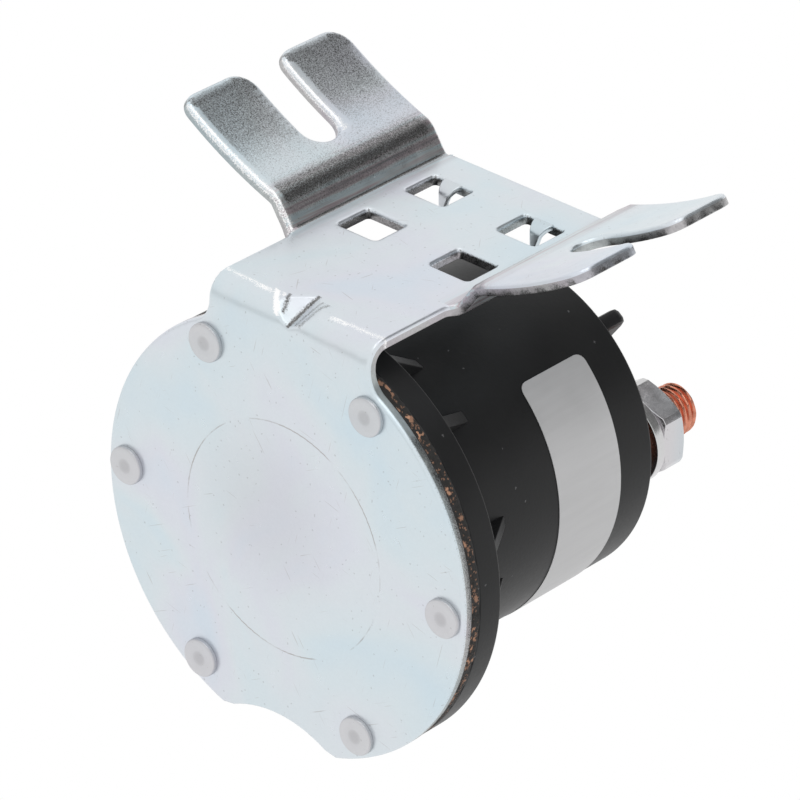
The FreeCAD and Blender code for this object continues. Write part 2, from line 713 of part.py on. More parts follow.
def make_housing():
    """Moulded case: flange with gussets, barrel, end wall with bosses and barrier fins."""
    body = new_body("housing")
    turned(body, "shell", [
        ("cavity_radius", FLANGE_START),
        ("flange_radius", FLANGE_START),
        ("flange_radius", "%s - flange_edge" % FLANGE_END),
        ("flange_radius - flange_edge", FLANGE_END),
        ("case_radius", FLANGE_END),
        ("case_radius", "%s - case_edge" % CASE_END),
        ("case_radius - case_edge", CASE_END),
        ("0", CASE_END),
        ("0", CAVITY_END),
        ("cavity_radius", CAVITY_END)])
    gussets = []
    for side in (RIGHT, LEFT):
        section = outline(body, "gusset_section_%d" % (side + 1), "XY_Plane", [
            ("case_radius - gusset_lap", "%s - gusset_lap" % FLANGE_END),
            ("gusset_top", "%s - gusset_lap" % FLANGE_END),
            ("gusset_top", FLANGE_END),
            ("case_radius", "%s + gusset_length" % FLANGE_END),
            ("case_radius - gusset_lap", "%s + gusset_length" % FLANGE_END)],
            turn="%d * gusset_angle" % side)
        gussets.append(pad(body, "gusset_%d" % (side + 1), section, "gusset_width", midplane=True))
    around(body, "gussets", gussets, "rivet_count")
    hole = circles(body, "rivet_hole", "XZ_Plane", [("rivet_circle", "0")], "rivet_shank + rivet_play")
    seat = circles(body, "rivet_seat", "XZ_Plane", [("rivet_circle", "0")], "rivet_tail + rivet_play",
                   offset="-%s" % TAIL_START)
    cuts = [pocket(body, "first_rivet_hole", hole, FLANGE_END), pocket(body, "first_rivet_seat", seat, "rivet_seat")]
    around(body, "rivet_holes", cuts, "rivet_count")
    round_notch(body, FLANGE_END)
    dart_relief(body, "(gauge)", FLANGE_END)

    # barrier fins between the upper coil stud and the power studs
    for name, angle in (("right", "-fin_angle"), ("left", "fin_angle - 180")):
        fin = outline(body, "fin_section_" + name, "XY_Plane", [
            ("fin_inner", "%s - fin_width" % CASE_END),
            ("fin_outer", "%s - fin_width" % CASE_END),
            ("fin_outer", "%s + fin_height - fin_corner" % CASE_END),
            ("fin_outer - fin_corner", "%s + fin_height" % CASE_END),
            ("fin_inner", "%s + fin_height" % CASE_END)],
            arcs={2: ("fin_outer - fin_corner", "%s + fin_height - fin_corner" % CASE_END, True)}, turn=angle)
        pad(body, "fin_" + name, fin, "fin_width", midplane=True)
    fin_top = size("%s + fin_height" % CASE_END)
    dressed(body, "fin_edges", "Fillet", "fin_edge",
            lambda edge: lies(edge, y=fin_top) and edge.Length > 2 * size("fin_width"))

    places = [("0", "coil_stud_offset"), ("0", "-coil_stud_offset")]
    bosses = circles(body, "boss_circles", "XZ_Plane", places, "boss_radius", offset="-%s" % CASE_END)
    pad(body, "bosses", bosses, "boss_height", backwards=True)
    small = circles(body, "coil_stud_holes", "XZ_Plane", places, "coil_stud_radius + held_play",
                    offset="-%s" % CAVITY_END)
    pocket(body, "coil_stud_bores", small, "end_wall + boss_height + fin_height")
    large = circles(body, "stud_holes", "XZ_Plane", [("stud_offset", "0"), ("-stud_offset", "0")],
                    "stud_shank + held_play", offset="-%s" % CAVITY_END)
    pocket(body, "stud_bores", large, "end_wall + fin_height")


def make_label():
    """Bare self-adhesive label wrapped round the barrel."""
    body = new_body("label")
    turned(body, "wrap", [
        ("case_radius", "label_start"),
        ("case_radius + label_thickness", "label_start"),
        ("case_radius + label_thickness", "label_start + label_width"),
        ("case_radius", "label_start + label_width")],
        sweep="label_span", turn="-label_top_angle")
    thickness = size("label_thickness")
    dressed(body, "label_corners", "Fillet", "label_corner", lambda edge: (
        len(edge.Vertexes) == 2 and abs(edge.Length - thickness) < TOUCH))


def make_yoke_cup():
    """Drawn steel cup that carries the flux round the winding."""
    body = new_body("yoke_cup")
    turned(body, "cup", [
        ("0", "gauge"),
        ("cup_radius", "gauge"),
        ("cup_radius", CUP_END),
        ("cup_radius - cup_wall", CUP_END),
        ("cup_radius - cup_wall", CUP_INSIDE),
        ("0", CUP_INSIDE)])


def make_coil_bobbin():
    """Moulded bobbin; its bore guides the plunger and holds the core."""
    body = new_body("coil_bobbin")
    turned(body, "bobbin", [
        (BORE, CUP_INSIDE),
        ("bobbin_radius", CUP_INSIDE),
        ("bobbin_radius", "%s + bobbin_flange" % CUP_INSIDE),
        (TUBE, "%s + bobbin_flange" % CUP_INSIDE),
        (TUBE, "%s - bobbin_flange" % CUP_END),
        ("bobbin_radius", "%s - bobbin_flange" % CUP_END),
        ("bobbin_radius", CUP_END),
        (BORE, CUP_END)])
    lead_holes(body, "%s - 2 * bobbin_flange" % CUP_END, "3 * bobbin_flange")


def make_coil_winding():
    """The wire of the coil, as one solid of its outer shape."""
    body = new_body("coil_winding")
    turned(body, "winding", [
        (TUBE, "%s + bobbin_flange" % CUP_INSIDE),
        ("winding_radius", "%s + bobbin_flange" % CUP_INSIDE),
        ("winding_radius", "%s - bobbin_flange" % CUP_END),
        (TUBE, "%s - bobbin_flange" % CUP_END)])


def lead_holes(body, start, depth):
    """Two holes that the coil leads pass through."""
    holes = circles(body, "lead_holes", "XZ_Plane", [("0", "lead_offset"), ("0", "-lead_offset")],
                    "lead_hole", offset="-(%s)" % start)
    pocket(body, "lead_passages", holes, depth)


def make_flux_plate():
    """Steel plate that closes the cup round the core's neck."""
    body = new_body("flux_plate")
    turned(body, "plate", [
        ("core_neck + held_play", CUP_END),
        ("cup_radius", CUP_END),
        ("cup_radius", PLATE_END),
        ("core_neck + held_play", PLATE_END)])
    lead_holes(body, "%s - plate_thickness" % CUP_END, "3 * plate_thickness")


def make_fixed_core():
    """Turned core with the stem's bore and a pocket for the return spring."""
    body = new_body("fixed_core")
    turned(body, "core", [
        ("spring_pocket", CORE_BACK),
        ("plunger_radius", CORE_BACK),
        ("plunger_radius", CUP_END),
        ("core_neck", CUP_END),
        ("core_neck", PLATE_END),
        ("stem_radius + running_play", PLATE_END),
        ("stem_radius + running_play", RETURN_END),
        ("spring_pocket", RETURN_END)])


def make_contact_liner():
    """Insulating disc over the flux plate, under the moving contact."""
    body = new_body("contact_liner")
    turned(body, "liner", [
        ("liner_hole", PLATE_END),
        ("cup_radius", PLATE_END),
        ("cup_radius", LINER_END),
        ("liner_hole", LINER_END)])
    lead_holes(body, "%s - 2 * liner_thickness" % PLATE_END, "4 * liner_thickness")


def make_plunger_bumper():
    """Rubber pad that the plunger falls back on."""
    body = new_body("plunger_bumper")
    turned(body, "pad", [
        ("0", CUP_INSIDE),
        ("bumper_radius", CUP_INSIDE),
        ("bumper_radius", "%s + bumper_thickness" % CUP_INSIDE),
        ("0", "%s + bumper_thickness" % CUP_INSIDE)])


def make_plunger():
    """Soft iron plunger with the stem's bore and a pocket for the return spring."""
    body = new_body("plunger")
    turned(body, "slug", [
        ("stem_radius + held_play", PLUNGER_BACK),
        ("plunger_radius - plunger_chamfer", PLUNGER_BACK),
        ("plunger_radius", "%s + plunger_chamfer" % PLUNGER_BACK),
        ("plunger_radius", "%s - plunger_chamfer" % PLUNGER_FRONT),
        ("plunger_radius - plunger_chamfer", PLUNGER_FRONT),
        ("spring_pocket", PLUNGER_FRONT),
        ("spring_pocket", RETURN_START),
        ("stem_radius + held_play", RETURN_START)])


def make_plunger_stem():
    """Stem pressed into the plunger, necked for the moving contact and its clip."""
    body = new_body("plunger_stem")
    turned(body, "rod", [
        ("0", "%s + stem_inset" % PLUNGER_BACK),
        ("stem_radius", "%s + stem_inset" % PLUNGER_BACK),
        ("stem_radius", SEAT_BACK),
        ("stem_neck", SEAT_BACK),
        ("stem_neck", CLIP_BACK),
        ("clip_groove", CLIP_BACK),
        ("clip_groove", CLIP_FRONT),
        ("stem_neck", CLIP_FRONT),
        ("stem_neck", STEM_END),
        ("0", STEM_END)])


def make_spring_seat():
    """Washer on the stem's shoulder that the contact spring stands on."""
    body = new_body("spring_seat")
    turned(body, "seat", [
        ("stem_neck + held_play", SEAT_BACK),
        ("seat_radius", SEAT_BACK),
        ("seat_radius", SEAT_FRONT),
        ("stem_neck + held_play", SEAT_FRONT)])


def make_contact_bush():
    """Flanged insulating bush between the stem and the moving contact."""
    body = new_body("contact_bush")
    turned(body, "bush", [
        ("stem_neck + running_play", BUSH_BACK),
        ("bush_flange_radius", BUSH_BACK),
        ("bush_flange_radius", DISC_BACK),
        ("bush_radius", DISC_BACK),
        ("bush_radius", DISC_FRONT),
        ("stem_neck + running_play", DISC_FRONT)])


def make_contact_disc():
    """Copper disc that bridges the two stud heads."""
    body = new_body("contact_disc")
    turned(body, "disc", [
        ("bush_radius + held_play", DISC_BACK),
        ("disc_radius", DISC_BACK),
        ("disc_radius", "%s - disc_chamfer" % DISC_FRONT),
        ("disc_radius - disc_chamfer", DISC_FRONT),
        ("bush_radius + held_play", DISC_FRONT)])


def make_contact_washer():
    """Insulating washer between the moving contact and the clip."""
    body = new_body("contact_washer")
    turned(body, "washer", [
        ("stem_neck + running_play", DISC_FRONT),
        ("washer_radius", DISC_FRONT),
        ("washer_radius", "%s + washer_thickness" % DISC_FRONT),
        ("stem_neck + running_play", "%s + washer_thickness" % DISC_FRONT)])


def make_stem_clip():
    """Open retaining ring in the stem's groove."""
    body = new_body("stem_clip")
    turned(body, "ring", [
        ("clip_groove + held_play", CLIP_BACK),
        ("clip_radius", CLIP_BACK),
        ("clip_radius", "%s + clip_thickness" % CLIP_BACK),
        ("clip_groove + held_play", "%s + clip_thickness" % CLIP_BACK)],
        sweep="360 - clip_mouth")


def make_main_stud(label, x):
    """Copper power stud: contact head, grooved shank, shoulder, thread root and free thread."""
    middle = "(%s - end_wall / 2)" % CASE_END
    body = new_body(label, x=x)
    turned(body, "stud", [
        ("0", HEAD_FACE),
        ("stud_head", HEAD_FACE),
        ("stud_head", CAVITY_END),
        ("stud_shank", CAVITY_END),
        ("stud_shank", "%s - seal_width / 2" % middle),
        ("seal_groove", "%s - seal_width / 2" % middle),
        ("seal_groove", "%s + seal_width / 2" % middle),
        ("stud_shank", "%s + seal_width / 2" % middle),
        ("stud_shank", STUD_SHOULDER),
        ("stud_root", STUD_SHOULDER),
        ("stud_root", NUT_END),
        ("stud_radius", NUT_END),
        ("stud_radius", "%s + stud_end - stud_chamfer" % CASE_END),
        ("stud_radius - stud_chamfer", "%s + stud_end" % CASE_END),
        ("0", "%s + stud_end" % CASE_END)])


def make_main_stud_seals():
    """O-rings in the grooves of the power studs."""
    body = new_body("main_stud_seal", kept=False)
    section = "((stud_shank + held_play - seal_groove) / 2 - seal_squeeze / 2)"
    ring = circles(body, "ring_section", "XY_Plane",
                   [("(stud_shank + held_play + seal_groove) / 2", "%s - end_wall / 2" % CASE_END)], section)
    feature = body.newObject("PartDesign::Revolution", "ring")
    feature.Profile = ring
    feature.ReferenceAxis = (ring, ["V_Axis"])
    feature.Angle = 360
    tip(body, feature)
    group("main_stud_seals", body, [("stud_offset", "0"), ("-stud_offset", "0")])


def make_lock_washers(label, bore, radius, start, thickness, places):
    """Split lock washers pressed flat under their nuts."""
    body = new_body(label[:-1], kept=False)
    turned(body, "ring", [
        ("%s + nut_play" % bore, start),
        (radius, start),
        (radius, "%s + %s" % (start, thickness)),
        ("%s + nut_play" % bore, "%s + %s" % (start, thickness))],
        sweep="360 - lock_washer_mouth")
    group(label, body, places)


def make_nuts(label, flats, bore, start, thickness, places):
    """Hexagon nuts with both faces chamfered."""
    body = new_body(label[:-1], kept=False)
    corner = "(%s / 2 / cos(30))" % flats
    hexagon = outline(body, "hexagon", "XZ_Plane", [
        ("%s * cos(nut_turn + %d)" % (corner, step), "%s * sin(nut_turn + %d)" % (corner, step))
        for step in range(0, 360, 60)], offset="-%s" % start)
    pad(body, "prism", hexagon, thickness, backwards=True)
    hole = circles(body, "bore_circle", "XZ_Plane", [("0", "0")], "%s + nut_play" % bore)
    pocket(body, "bore", hole, "2 * platform_length")
    reach = "(%s + 1)" % corner
    drop = "((%s - %s / 2) * tan(nut_bevel))" % (reach, flats)
    finish = "(%s + %s)" % (start, thickness)
    turned_cut(body, "near_bevel", [("%s / 2" % flats, start), (reach, start), (reach, "%s + %s" % (start, drop))])
    turned_cut(body, "far_bevel", [("%s / 2" % flats, finish), (reach, finish), (reach, "%s - %s" % (finish, drop))])
    group(label, body, places)


def make_coil_stud(label, z):
    """Small stud that joins a coil lead to the control wiring."""
    body = new_body(label, z=z)
    turned(body, "stud", [
        ("0", COIL_HEAD_FACE),
        ("coil_stud_head", COIL_HEAD_FACE),
        ("coil_stud_head", CAVITY_END),
        ("coil_stud_radius", CAVITY_END),
        ("coil_stud_radius", BOSS_END),
        ("coil_stud_root", BOSS_END),
        ("coil_stud_root", COIL_NUT_END),
        ("coil_stud_radius", COIL_NUT_END),
        ("coil_stud_radius", "%s + coil_stud_end - coil_stud_chamfer" % CASE_END),
        ("coil_stud_radius - coil_stud_chamfer", "%s + coil_stud_end" % CASE_END),
        ("0", "%s + coil_stud_end" % CASE_END)])


def make_coil_lead(label, side):
    """Coil lead from the winding to the rear of its stud's head."""
    body = new_body(label)
    start = "(%s - 4 * bobbin_flange)" % CUP_END
    top = "(%s - lead_radius)" % COIL_HEAD_FACE
    sign = "%d * " % side
    path = outline(body, "route", "YZ_Plane", [
        (start, sign + "lead_offset"),
        ("%s - lead_bend" % top, sign + "lead_offset"),
        (top, sign + "(lead_offset - lead_bend)"),
        (top, sign + "lead_tail")],
        arcs={1: ("%s - lead_bend" % top, sign + "(lead_offset - lead_bend)", side < 0)}, closed=False)
    wire = circles(body, "wire_section", "XZ_Plane", [("0", sign + "lead_offset")], "lead_radius",
                   offset="-" + start)
    feature = body.newObject("PartDesign::AdditivePipe", "lead")
    feature.Profile = wire
    feature.Spine = (path, [])
    tip(body, feature)


def make_fasteners():
    """Lock washers and nuts of both kinds of stud."""
    power = [("stud_offset", "0"), ("-stud_offset", "0")]
    coil = [("0", "coil_stud_offset"), ("0", "-coil_stud_offset")]
    make_lock_washers("main_lock_washers", "stud_radius", "lock_washer_radius", STUD_SHOULDER,
                      "lock_washer_thickness", power)
    make_nuts("main_nuts", "nut_flats", "stud_root", WASHER_END, "nut_thickness", power)
    make_lock_washers("coil_lock_washers", "coil_stud_radius", "coil_washer_radius", BOSS_END,
                      "coil_washer_thickness", coil)
    make_nuts("coil_nuts", "coil_nut_flats", "coil_stud_root", COIL_WASHER_END, "coil_nut_thickness", coil)


def build():
    """Make every sub-part in the order in which the contactor is put together."""
    make_mounting_bracket()
    make_cover_gasket()
    make_cover_rivets()
    make_housing()
    make_label()
    make_yoke_cup()
    make_coil_bobbin()
    make_coil_winding()
    make_flux_plate()
    make_fixed_core()
    make_contact_liner()
    make_plunger_bumper()
    make_plunger()
    make_plunger_stem()
    spring("return_spring", "return_wire", "return_turns", RETURN_START, RETURN_END)
    make_spring_seat()
    spring("contact_spring", "contact_wire", "contact_turns", SEAT_FRONT, BUSH_BACK)
    make_contact_bush()
    make_contact_disc()
    make_contact_washer()
    make_stem_clip()
    make_main_stud("main_stud_left", "-stud_offset")
    make_main_stud("main_stud_right", "stud_offset")
    make_main_stud_seals()
    make_coil_stud("coil_stud_upper", "coil_stud_offset")
    make_coil_stud("coil_stud_lower", "-coil_stud_offset")
    make_coil_lead("coil_lead_upper", RIGHT)
    make_coil_lead("coil_lead_lower", LEFT)
    make_fasteners()


def write():
    """Check every object and write one file for each sub-part."""
    document.recompute()
    for item in document.Objects:
        if "Invalid" in item.State or "Error" in item.State:
            raise ValueError("%s is %s" % (item.Label, item.State))
    os.makedirs("parts", exist_ok=True)
    for label, item in exports.items():
        if item.Shape.isNull() or not item.Shape.isValid():
            raise ValueError("%s has no valid shape" % label)
        item.Shape.exportStep("parts/%s.step" % label)
        print(label, len(item.Shape.Solids), round(item.Shape.Volume, 1))


build()
write()
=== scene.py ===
import math

import bmesh
import bpy
from mathutils import Matrix, Vector, noise
from mathutils.geometry import delaunay_2d_cdt


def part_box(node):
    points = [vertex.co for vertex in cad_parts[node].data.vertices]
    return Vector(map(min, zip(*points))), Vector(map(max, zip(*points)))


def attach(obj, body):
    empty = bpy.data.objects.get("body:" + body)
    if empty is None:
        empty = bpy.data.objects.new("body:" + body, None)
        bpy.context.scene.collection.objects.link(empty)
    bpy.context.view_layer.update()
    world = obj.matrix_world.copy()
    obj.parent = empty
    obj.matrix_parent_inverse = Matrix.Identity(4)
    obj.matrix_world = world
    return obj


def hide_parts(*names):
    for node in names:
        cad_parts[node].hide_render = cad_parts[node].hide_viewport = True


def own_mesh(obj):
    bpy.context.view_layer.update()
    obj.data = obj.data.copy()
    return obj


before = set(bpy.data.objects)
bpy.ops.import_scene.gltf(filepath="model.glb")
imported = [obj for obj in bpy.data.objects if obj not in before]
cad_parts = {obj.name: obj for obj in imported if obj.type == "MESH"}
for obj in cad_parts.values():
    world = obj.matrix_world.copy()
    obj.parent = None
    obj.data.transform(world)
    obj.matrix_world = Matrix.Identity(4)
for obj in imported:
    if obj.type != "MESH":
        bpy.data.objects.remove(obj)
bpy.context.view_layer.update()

bl_info = {
    "name": "DC contactor",
    "version": (1, 0, 0),
    "blender": (4, 5, 0),
    "location": "View3D > Sidebar > Contactor",
    "description": "Plated bracket, moulded case, studs and finishes of a bracket-mounted "
                   "DC contactor",
    "category": "Add Mesh",
}

MM = 0.001
TURN = 2 * math.pi
GAUGE = 1.6

# The middle of the cover's outer face, from which every piece is drawn in
# millimetres: x across the bracket, y towards the studs, z up. The yoke cup
# stands on the cover's inner face, about the same axis.
CUP_LOW, CUP_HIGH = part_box("yoke_cup")
COVER_FACE = Vector((0.0, CUP_LOW.y - GAUGE * MM, (CUP_LOW.z + CUP_HIGH.z) / 2))


def row_point(x, y, z):
    """A place given from the middle of the cover, as metres in the row frame."""
    return COVER_FACE + Vector((x, y, z)) * MM


def length(name, description, default, digits=5):
    """A size that a user may change, in metres."""
    return bpy.props.FloatProperty(name=name, description=description, default=default * MM,
                                   min=0, unit="LENGTH", precision=digits)


def colour(name, description, default):
    """A colour that a user may change."""
    return bpy.props.FloatVectorProperty(name=name, description=description, default=default,
                                         subtype="COLOR", min=0, max=1)


class ContactorLooks(bpy.types.PropertyGroup):
    edge_roll: length("Edge roll", "Rounding that the blanking die leaves on the sheet", 0.58)
    edge_burr: length("Edge burr side", "Rounding on the far side of the sheet", 0.12)
    dart_depth: length("Dart depth",
                       "How far the dart's valley lies behind the square corner of the bend", 2.65)
    coin_depth: length("Coined ring depth", "Depth of the ring pressed into the cover", 0.07)
    ragged: length("Gasket raggedness", "How far the cut edge of the gasket wanders", 0.16)
    pitch: length("Stud pitch", "Thread pitch of the power studs", 1.058, 6)
    coil_pitch: length("Coil stud pitch", "Thread pitch of the coil studs", 0.794, 6)
    zinc: colour("Zinc", "Colour of the chromated zinc", (0.695, 0.745, 0.79))
    rivet: colour("Rivet zinc", "Colour of the rivets' duller zinc", (0.63, 0.635, 0.655))
    plastic: colour("Case plastic", "Colour of the moulded case", (0.0115, 0.0117, 0.0122))
    label: colour("Label", "Colour of the bare label", (0.5, 0.5, 0.505))
    gasket: colour("Gasket rubber", "Colour of the rubber in the gasket", (0.012, 0.011, 0.010))
    cork: colour("Gasket cork", "Colour of the cork grains in the gasket", (0.5, 0.27, 0.17))
    copper: colour("Copper", "Colour of the power studs", (0.82, 0.33, 0.22))


# ---------------------------------------------------------------- mesh making

# Rims in shares of their radius, from a face to the side: inset, drop
ROLLED_RIM = ((1.0, 0.0), (0.55, 0.08), (0.2, 0.32), (0.0, 1.0))
EASED_RIM = ((1.0, 0.0), (0.3, 0.3), (0.0, 1.0))
# Corners closer than WELD are one corner, and edges shorter than SLIVER go
WELD, SLIVER = 0.0008, 0.0005
# A rounded corner takes at most this share of a side, and a mitre is at most 1 / MITRE long
SIDE_SHARE, MITRE = 0.49, 0.35


def new_piece(name, bm, materials, sharp=35.0):
    """Turn a bmesh, in millimetres from the cover, into a piece with sharp corners."""
    bmesh.ops.remove_doubles(bm, verts=bm.verts, dist=WELD)
    bmesh.ops.recalc_face_normals(bm, faces=bm.faces)
    limit = math.radians(sharp)
    for edge in bm.edges:
        edge.smooth = len(edge.link_faces) == 2 and edge.calc_face_angle(0) < limit
    for face in bm.faces:
        face.smooth = True
    for vert in bm.verts:
        vert.co = row_point(*vert.co)
    mesh = bpy.data.meshes.new(name)
    bm.to_mesh(mesh)
    bm.free()
    for material in materials:
        mesh.materials.append(material)
    piece = bpy.data.objects.new(name, mesh)
    bpy.context.scene.collection.objects.link(piece)
    weighted = piece.modifiers.new("flat faces stay flat", "WEIGHTED_NORMAL")
    weighted.keep_sharp = True
    weighted.weight = 80
    return piece


def put(piece, slot, *nodes, body="case"):
    """Let a piece stand for CAD nodes and ride on their body; its slot is not used."""
    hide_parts(*nodes)
    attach(piece, body)
    return piece


def eased(points, radius, steps=4, closed=True):
    """A run of corners, each rounded by an arc; radius is one number or one for each corner."""
    result = []
    count = len(points)
    for index, point in enumerate(points):
        size = radius[index] if isinstance(radius, (list, tuple)) else radius
        here = Vector(point)
        if size <= 0 or (not closed and index in (0, count - 1)):
            result.append(here)
            continue
        before = Vector(points[index - 1]) - here
        after = Vector(points[(index + 1) % count]) - here
        half = before.angle(after) / 2
        setback = min(size / math.tan(half), SIDE_SHARE * before.length, SIDE_SHARE * after.length)
        bend = setback * math.tan(half)
        middle = here + (before.normalized()
                         + after.normalized()).normalized() * (bend / math.sin(half))
        start = here + before.normalized() * setback - middle
        finish = here + after.normalized() * setback - middle
        sweep = math.atan2(start.x * finish.y - start.y * finish.x, start.dot(finish))
        for step in range(steps + 1):
            angle = sweep * step / steps
            result.append(middle + Vector((start.x * math.cos(angle) - start.y * math.sin(angle),
                                           start.x * math.sin(angle) + start.y * math.cos(angle))))
    return result


def bridged(bm, rings, closed=True):
    """Join each ring of corners to the next with faces, and give the faces back."""
    return [bm.faces.new((one[index - 1], one[index], two[index], two[index - 1]))
            for one, two in zip(rings, rings[1:]) for index in range(0 if closed else 1, len(one))]


def turned(bm, profile, segments=96, x=0.0, z=0.0, closed=True, first=0.0, sweep=TURN, wander=None):
    """Turn a profile of (radius, y) about an axis along y; an open sweep gets its two end faces."""
    whole = sweep == TURN
    rings = []
    for column in range(segments if whole else segments + 1):
        angle = first + sweep * column / segments
        ring = []
        for radius, y in profile:
            reach = radius + (wander(angle, radius, y) if wander else 0.0)
            ring.append(bm.verts.new((x + reach * math.cos(angle), y, z + reach * math.sin(angle))))
        rings.append(ring)
    bridged(bm, rings + rings[:1] if whole else rings, closed)
    if not whole:
        bm.faces.new(rings[0])
        bm.faces.new(rings[-1])
    if any(radius == 0 for radius, y in profile):
        bmesh.ops.dissolve_degenerate(bm, edges=bm.edges, dist=SLIVER)


def plate(bm, outline, thickness, roll, placed):
    """A flat plate with rounded rims, from a 2-D counterclockwise outline.

    placed maps (a, b, h) to a point.
    """
    half = thickness / 2
    section = [(inset * roll, half - drop * roll) for inset, drop in EASED_RIM]
    section += [(inset, -height) for inset, height in reversed(section)]
    rings = [[bm.verts.new(placed(point.x, point.y, height))
              for point in offset_loop(outline, inset)]
             for inset, height in section]
    bridged(bm, rings)
    bm.faces.new(reversed(rings[0]))
    bm.faces.new(rings[-1])


def offset_loop(points, inset):
    """Move a counterclockwise loop into its own side by a distance."""
    moved = [Vector(point) for point in points]
    if not inset:
        return moved
    sides = [(after - here).normalized() for here, after in zip(moved, moved[1:] + moved[:1])]
    left = [Vector((-side.y, side.x)) for side in sides]
    for index, normal in enumerate(left):
        middle = left[index - 1] + normal
        middle = (middle if middle.length > 1e-6 else left[index - 1]).normalized()
        moved[index] = moved[index] + middle * (inset / max(MITRE, middle.dot(normal)))
    return moved


def inside(point, loop):
    """Whether a 2-D point lies inside a closed loop."""
    found = False
    for one, two in zip(loop, loop[1:] + loop[:1]):
        if (one.y > point.y) != (two.y > point.y):
            if point.x < (two.x - one.x) * (point.y - one.y) / (two.y - one.y) + one.x:
                found = not found
    return found


def divided(loop, step):
    """The loop with its long sides divided, so that they can bend."""
    result = []
    for index, point in enumerate(loop):
        here, following = Vector(point), Vector(loop[(index + 1) % len(loop)])
        parts = max(1, math.ceil((following - here).length / step))
        result.extend(here.lerp(following, part / parts) for part in range(parts))
    return result


def sheet(bm, loops, fill, thickness, roll, burr, placed, rim_slot=0, rubbed=None):
    """A blanked sheet: the first loop is its outline, the others are holes that run clockwise.

    placed maps a place on the flat blank and a height over its middle to the folded sheet;
    the function for painted light gives the painted shade at a place, which below zero is a
    painted highlight. Both are kept on the corners, for the finish.
    """
    blank = bm.verts.layers.float_vector.new("blank")
    wear_and_painted_light = bm.verts.layers.float.new("rubbed")

    def corner(point, height):
        vert = bm.verts.new(placed(point.x, point.y, height))
        vert[blank] = Vector((point.x, point.y, height)) * MM
        if rubbed:
            vert[wear_and_painted_light] = rubbed(point.x, point.y, height)
        return vert

    half = thickness / 2
    section = [(inset * roll, half - drop * roll) for inset, drop in ROLLED_RIM]
    section += [(inset * burr, drop * burr - half) for inset, drop in reversed(EASED_RIM)]
    side = len(ROLLED_RIM) - 1
    for loop in loops:
        rings = [[corner(point, height) for point in offset_loop(loop, inset)]
                 for inset, height in section]
        bridged(bm, rings[:side + 1])
        for face in bridged(bm, rings[side:]):
            face.material_index = rim_slot
    for inset, height in (section[0], section[-1]):
        rims = [offset_loop(loop, inset) for loop in loops]
        points, edges = [], []
        for rim in rims:
            first = len(points)
            points.extend(rim)
            edges.extend((first + index, first + (index + 1) % len(rim))
                         for index in range(len(rim)))
        points.extend(Vector(point) for point in fill)
        spots, _, corners_of, *_ = delaunay_2d_cdt(points, edges, [], 0, 1e-5)
        verts = [corner(spot, height) for spot in spots]
        for corners in corners_of:
            middle = sum((spots[index] for index in corners), Vector((0.0, 0.0))) / len(corners)
            if inside(middle, rims[0]) and not any(inside(middle, rim) for rim in rims[1:]):
                bm.faces.new([verts[index] for index in corners])
    loose = [vert for vert in bm.verts if not vert.link_faces]
    bmesh.ops.delete(bm, geom=loose, context="VERTS")


def clear_of(points, loops, distance):
    """The fill points of a blank that lie on it and keep off its rims."""
    kept = []
    for point in points:
        spot = Vector(point)
        if not inside(spot, loops[0]) or any(inside(spot, loop) for loop in loops[1:]):
            continue
        if all((spot - corner).length > distance for loop in loops for corner in loop):
            kept.append(spot)
    return kept


# ------------------------------------------------------------------- bracket

PLATFORM_TOP, PLATFORM_END, PLATFORM_CORNER = 35.0, 49.2, 0.4
BEND_RADIUS, ARM_HALF, ARM_FILLET, COVER_RADIUS = 1.8, 14.2, 4.0, 32.1
NOTCH_RADIUS, NOTCH_TOP = 18.2, -28.0
SLOT_LINE, SLOT_HALF, SLOT_END = 32.8, 3.25, 21.7
HOLE_ROWS, HOLE_COLUMNS = (-6.9, 6.9), (-8.15, 8.15)
HOLE_HALF_WIDTH, HOLE_HALF_LENGTH, HOLE_CORNER = 3.4, 3.15, 0.6
MIDDLE_BEND = BEND_RADIUS + GAUGE / 2
BEND_START = PLATFORM_TOP - GAUGE - BEND_RADIUS
BEND_END = BEND_START + MIDDLE_BEND * math.pi / 2
EAR_START, EAR_FINISH = 16.9, 48.9
# The ear's runs outwards along the sheet's middle: length, curve
JOGGLE_RADIUS, FLARE_RADIUS = 1.4, 70.8
EAR_RUNS = [(0.188, 0.0), (JOGGLE_RADIUS * math.radians(55), 1 / JOGGLE_RADIUS), (3.856, 0.0),
            (JOGGLE_RADIUS * math.radians(36), -1 / JOGGLE_RADIUS), (19.16, 1 / FLARE_RADIUS)]
RIVET_CIRCLE = 28.6
COIN_RADIUS, COIN_HALF = 17.4, 0.3
# The dart's valley: its line across the bracket and the line's lean, its rise towards
# the platform, the flanks' slope, how round it is, and how it widens on the far side
DART_MIDDLE, DART_LEAN, DART_RISE, DART_FLANK = 0.1, 0.08, 0.364, 0.467
DART_POINT, DART_SOFT, DART_WIDENS = 0.12, 0.22, 1.16
DRAWN_IN = 0.16


def ear_place(distance):
    """Sideways place, height and slope at a distance along the ear from the platform's side."""
    x, z, angle = ARM_HALF, PLATFORM_TOP - GAUGE / 2, 0.0
    for index, (run, curve) in enumerate(EAR_RUNS):
        part = distance if index == len(EAR_RUNS) - 1 else min(run, distance)
        if curve:
            turned_to = angle + part * curve
            x += (math.sin(turned_to) - math.sin(angle)) / curve
            z += (math.cos(angle) - math.cos(turned_to)) / curve
            angle = turned_to
        else:
            x += part * math.cos(angle)
            z += part * math.sin(angle)
        distance -= part
        if distance <= 0:
            break
    return x, z, angle


EAR_REACH = sum(run for run, curve in EAR_RUNS)


def blank_height(y):
    """Place on the flat blank of a line across the platform."""
    return BEND_END + y - (GAUGE + BEND_RADIUS)


